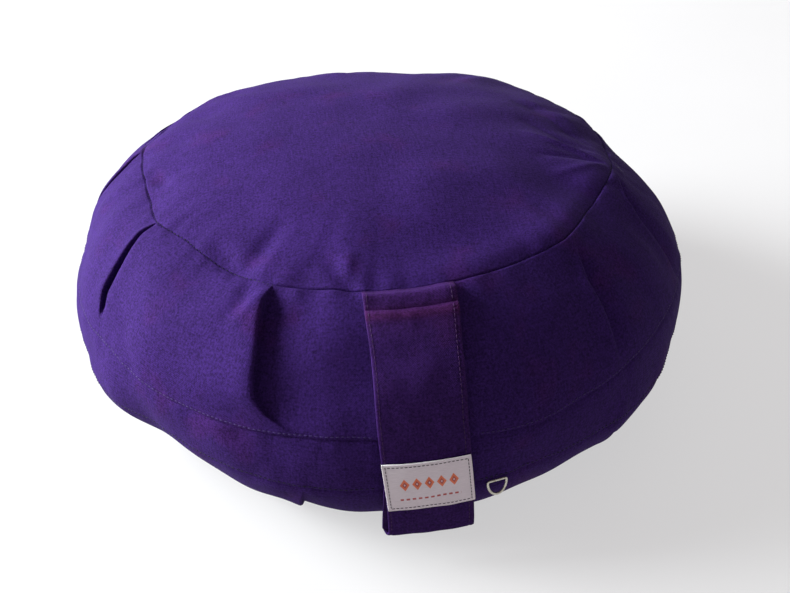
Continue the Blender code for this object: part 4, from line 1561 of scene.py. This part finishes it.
# Rows are azimuth and distance down of the start, the same of the end, width, push
FURROWS = tuple(
    Furrow(row[:2], row[2:4], *row[4:])
    for row in (
        (-91.0, 0.130, -83.0, 0.122, 0.0042, -0.0022),
        (-88.0, 0.126, -84.0, 0.100, 0.0060, -0.0012),
        (-48.5, 0.124, -37.0, 0.134, 0.0055, -0.0024),
        (-37.0, 0.128, -35.2, 0.100, 0.0055, -0.0019),
        (-18.5, 0.116, -12.0, 0.132, 0.0040, -0.0021),
        (-13.6, 0.112, -14.6, 0.127, 0.0036, 0.0013),
        (-30.3, 0.138, -33.0, 0.158, 0.0022, 0.0009),
        (-34.6, 0.127, -33.6, 0.150, 0.0050, -0.0012),
        (-31.8, 0.136, -36.0, 0.158, 0.0040, -0.0008),
        (-24.0, 0.134, -21.5, 0.112, 0.0060, -0.0008),
        (-70.0, 0.128, -67.0, 0.108, 0.0060, -0.0009),
        (-105.0, 0.128, -101.0, 0.104, 0.0060, -0.0010),
        (-122.0, 0.128, -119.0, 0.110, 0.0060, -0.0007),
        (-140.0, 0.128, -138.0, 0.104, 0.0065, -0.0010),
        (41.5, 0.128, 43.0, 0.108, 0.0060, -0.0008),
        (58.0, 0.128, 60.0, 0.104, 0.0065, -0.0009),
        (75.0, 0.128, 78.0, 0.100, 0.0045, -0.0011),
        (83.0, 0.129, 85.0, 0.104, 0.0042, -0.0009),
        (78.0, 0.127, 96.0, 0.090, 0.0024, -0.0014),
        (77.5, 0.126, 84.0, 0.086, 0.0024, 0.0013),
        (76.0, 0.127, 70.0, 0.092, 0.0026, -0.0013),
        (74.0, 0.127, 62.0, 0.104, 0.0024, 0.0010),
        (88.0, 0.125, 112.0, 0.100, 0.0026, -0.0013),
        (97.0, 0.126, 116.0, 0.108, 0.0024, 0.0010),
        (80.0, 0.131, 86.0, 0.170, 0.0024, -0.0006),
        (-31.0, 0.210, -21.0, 0.214, 0.0055, -0.0014),
        (92.0, 0.129, 93.0, 0.108, 0.0045, -0.0009),
        (106.0, 0.128, 108.0, 0.102, 0.0060, -0.0012),
        (143.0, 0.128, 144.0, 0.102, 0.0065, -0.0012),
        (181.0, 0.128, 179.0, 0.104, 0.0065, -0.0011),
        (162.0, 0.128, 163.0, 0.110, 0.0055, -0.0007),
        (56.0, 0.140, 57.0, 0.178, 0.0035, 0.0006),
        (67.0, 0.145, 70.0, 0.190, 0.0035, 0.0007),
        (74.0, 0.140, 77.0, 0.185, 0.0040, -0.0008),
        (45.0, 0.150, 50.0, 0.190, 0.0050, -0.0007),
        (-57.0, 0.182, -52.0, 0.200, 0.0045, -0.0008),
        (-82.0, 0.184, -84.0, 0.201, 0.0045, -0.0008),
        (-96.0, 0.150, -94.0, 0.190, 0.0060, -0.0008),
        (118.0, 0.150, 122.0, 0.190, 0.0060, -0.0008),
        (158.0, 0.150, 160.0, 0.188, 0.0060, -0.0009),
        (-158.0, 0.150, -162.0, 0.188, 0.0060, -0.0009),
        (-122.0, 0.146, -120.0, 0.190, 0.0060, -0.0007),
    )
)

# Degrees to each side of the strap with no seam stitches, and how far the ring's bar is from its middle
UNDER_STRAP = 8.0
BAR_OUT = 0.0011


def main() -> None:
    """Builds the cushion, its strap, label, ring and stitches, and sets the studio."""
    logging.basicConfig(level=logging.INFO, format="%(name)s: %(message)s")
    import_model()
    studio = Studio()
    studio.set_camera()

    cotton = WovenCotton("purple_cotton").make()
    # The band is a darker copy of the cover's cotton: painted shade, as the strap faces away from the window
    # light. Its red tint paints highlight and shade
    shaded_band_colors = {"color": (0.0265, 0.0085, 0.0740), "warm": (0.044, 0.0078, 0.050)}
    band = WovenCotton("purple_band", **shaded_band_colors, roughness=0.78, red_tint_share=0.85).make()
    thread = SewingThread("purple_thread", (0.036, 0.018, 0.098)).make()
    dark = SewingThread("dark_thread", (0.004, 0.002, 0.013)).make()
    violet = SewingThread("violet_thread", (0.036, 0.009, 0.060)).make()

    cover = Cover()
    cloth = cover.shape(FURROWS)
    cushion = add_piece("cushion_cover", cover.mesh(cloth), cotton)
    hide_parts("cushion")

    stitch = Stitches()
    runs = (
        ("top_seam_stitches", cover.top_seam, 0.0027, dark, Stitches(0.0017, 0.00024, 0.00026, 0.0003)),
        ("middle_topstitches", cover.stitched_seam - 0.0016, 0.0025, thread, stitch),
        ("fly_topstitches", cover.fly_seam - 0.0016, 0.0025, dark, stitch),
    )
    for name, down, pitch, material, kind in runs:
        place, outward, forward = cloth.round_run(down, pitch)
        clear = np.abs(azimuth_of(place)) > UNDER_STRAP
        run = kind.mesh(name, place[clear], outward[clear], forward[clear])
        add_piece(name, run, material)

    loop = StrapLoop(cover, cloth)
    strap = add_piece("strap_band", loop.mesh(), band)
    give_thickness(strap, loop.thickness, 0.0003)
    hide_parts("strap")

    patch = Label(loop)
    label = add_piece("label_patch", patch.mesh(), WovenLabel().make())
    give_thickness(label, patch.thickness, 0.0002)
    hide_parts("label")

    edges = (("strap_stitches_left", False, 0.0016), ("strap_stitches_right", True, 0.0026))
    for name, right, inset in edges:
        long = Stitches(length=0.0022, radius=0.00020)
        add_piece(name, long.mesh(name, *loop.edge_run(inset, right, 0.0025)), violet)
    border = Stitches(0.0017, 0.00019, 0.00010, 0.0002)
    add_piece("label_stitches", border.mesh("label_stitches", *patch.border_run(0.0020)), dark)

    low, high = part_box("ring")
    reach = math.hypot((low.x + high.x) / 2, (low.y + high.y) / 2) + BAR_OUT
    ring = add_piece("pull_ring", PullRing().mesh(reach), BrightWire().make())
    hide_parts("ring")

    studio.set_stage()
    LOG.info("built")


if __name__ == "__main__":
    main()
